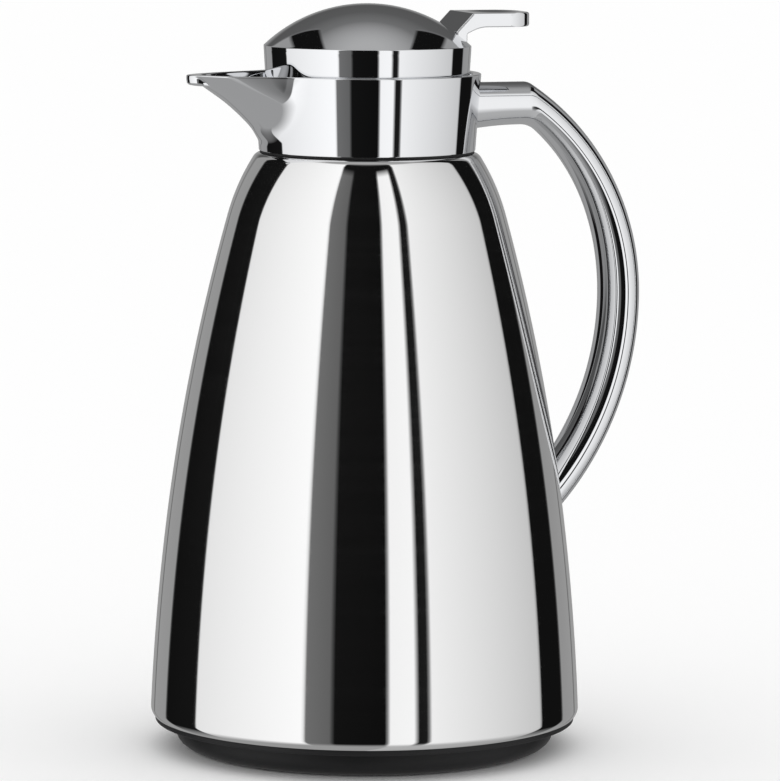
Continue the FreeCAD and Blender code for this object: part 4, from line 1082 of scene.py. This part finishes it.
def filled_in(outline, step):
    """The closed outline with a point added at every step along it; points that fall together count once."""
    closed = np.vstack([outline, outline[:1]])
    length = np.concatenate([[0], np.cumsum(np.linalg.norm(np.diff(closed, axis=0), axis=1))])
    at = np.concatenate([length[:-1], np.arange(0, length[-1], step)])
    at = np.unique(np.round(at, 3))
    return np.column_stack([np.interp(at, length, closed[:, axis]) for axis in (0, 1)])


def across_bar(side, low, high, edge):
    """Side outline (clockwise) carried from y = low to high, open at both ends.

    Within an edge's width e of an end it shrinks along a quarter circle: e - sqrt(e^2 - (e - d)^2) at a
    distance d. A last ring a little further in keeps the flat ends flat under smooth shading.
    """
    outline = filled_in(rounded(side), OUTLINE_STEP)
    along = np.roll(outline, -1, axis=0) - np.roll(outline, 1, axis=0)
    along /= np.linalg.norm(along, axis=1, keepdims=True)
    inward = np.column_stack([along[:, 1], -along[:, 0]])
    y = (low + high) / 2 + (high - low) / 2 * np.sin(np.linspace(-np.pi / 2, np.pi / 2, BAR_ROWS))
    short = np.maximum(edge - np.minimum(y - low, high - y), 0)
    shrink = edge - np.sqrt(edge ** 2 - short ** 2)
    y = np.concatenate([y[:1], y, y[-1:]])
    shrink = np.concatenate([[edge + SUPPORT], shrink, [edge + SUPPORT]])
    flat = outline + shrink[:, None, None] * inward
    return np.stack([flat[..., 0], np.broadcast_to(y[:, None], flat.shape[:2]), flat[..., 1]], axis=-1)


# %% Shape the tab
LEVER_HALF = 13.0
LEVER_EDGE = 0.5
TAB_CORNER = 9.5
DISH_R = 60.0
DISH_DEPTH = 0.9
# Points closer than this to the tab's highest level belong to its top
TOP_SLACK = 0.01
plate = across_bar(LEVER_SIDE, -LEVER_HALF, LEVER_HALF, LEVER_EDGE)
past = np.maximum(np.abs(plate[..., 1]) - (LEVER_HALF - TAB_CORNER), 0)
drawn_back = TAB_CORNER - np.sqrt(np.maximum(TAB_CORNER ** 2 - past ** 2, 0))
beyond = np.maximum(plate[..., 0] - (TAB_END - TAB_CORNER), 0) / TAB_CORNER
plate[..., 0] -= beyond * drawn_back
dish_x = (TAB_FRONT + TAB_END) / 2
dip = DISH_DEPTH - ((plate[..., 0] - dish_x) ** 2 + plate[..., 1] ** 2) / (2 * DISH_R)
plate[..., 2] -= np.where(plate[..., 2] > TAB_TOP - TOP_SLACK, np.maximum(dip, 0), 0)
print("dish %.1f mm across" % (2 * np.sqrt(2 * DISH_R * DISH_DEPTH)))

# %% Build the lever
HUB_HALF = 6.6
HUB_EDGE = 0.2
FORK_SLOT = 3.9
LEVER_SHARP = 40.0
lever_patches = [(plate, False, True), (across_bar(HUB_SIDE, -HUB_HALF, HUB_HALF, HUB_EDGE), False, True)]
for low, high in ((-HUB_HALF, -FORK_SLOT), (FORK_SLOT, HUB_HALF)):
    lever_patches.append((across_bar(FORK_SIDE, low, high, HUB_EDGE), False, True))
make_piece("chrome_lever", lever_patches, chrome_plate, "lever", ["lever"], sharp=LEVER_SHARP)

# %% [markdown]
# ## The valve spring
# A coil of drawn steel wire between the valve and the stopper's deck, which shuts the valve when the thumb
# lets go. The model's coil fits at rest, but it can't shorten. A tube round a helix can be squashed towards
# its upper end as the valve rises, so the coil is wound anew here.

# %% Wind the spring
SPRING_TURNS = 6
SPRING_WIRE = 0.6
TURN_STEPS = 48
WIRE_SIDES = 16
spring_low, spring_high = box_mm("valve_spring")


def coil(radius, wire, turns, low, high):
    """Tube of a wire's radius round the helix (R cos a, R sin a, z), with its circles square to the helix."""
    a = np.linspace(0, FULL_TURN * turns, TURN_STEPS * turns + 1)[:, None, None]
    t = np.linspace(0, FULL_TURN, WIRE_SIDES, endpoint=False)[None, :, None]
    climb = (high - low) / (FULL_TURN * turns)
    out = np.concatenate([np.cos(a), np.sin(a), 0 * a], axis=-1)
    along = np.concatenate([-radius * np.sin(a), radius * np.cos(a), climb + 0 * a], axis=-1)
    along /= np.linalg.norm(along, axis=-1, keepdims=True)
    centre = radius * out + (low + climb * a) * UP
    return centre + wire * (np.cos(t) * out + np.sin(t) * np.cross(out, along))


spring_wire = coil(
    spring_high[0] - SPRING_WIRE,
    SPRING_WIRE,
    SPRING_TURNS,
    spring_low[2] + SPRING_WIRE,
    spring_high[2] - SPRING_WIRE,
)
spring = make_piece(
    "steel_valve_spring", [(spring_wire, False, True)], drawn_steel, "lid", ["valve_spring"]
)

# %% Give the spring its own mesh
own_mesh(spring)

# %% [markdown]
# ## The pieces inside
# The stopper, valve, seals, flask and screws are right as they come from the model. They only need their
# finishes, which show when the lid is off.

# %% Finish the other nodes
FINISHES = {
    black_plastic: ["neck_insert", "stopper_body", "valve_stem", "handle_anchor"],
    silicone: ["flask_neck_seal", "shoulder_gasket", "stopper_gasket", "valve_seal"],
    rubber: ["foot_pad", "liner_cushion"],
    silvered_glass: ["outer_flask", "inner_flask"],
    drawn_steel: ["handle_screw", "anchor_screws", "anchor_plate", "lid_screws", "lever_pin", "stem_clip"],
}
for material, names in FINISHES.items():
    for name in names:
        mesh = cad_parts[name].data
        mesh.materials.clear()
        mesh.materials.append(material)
print("finished nodes:", sum(len(names) for names in FINISHES.values()))
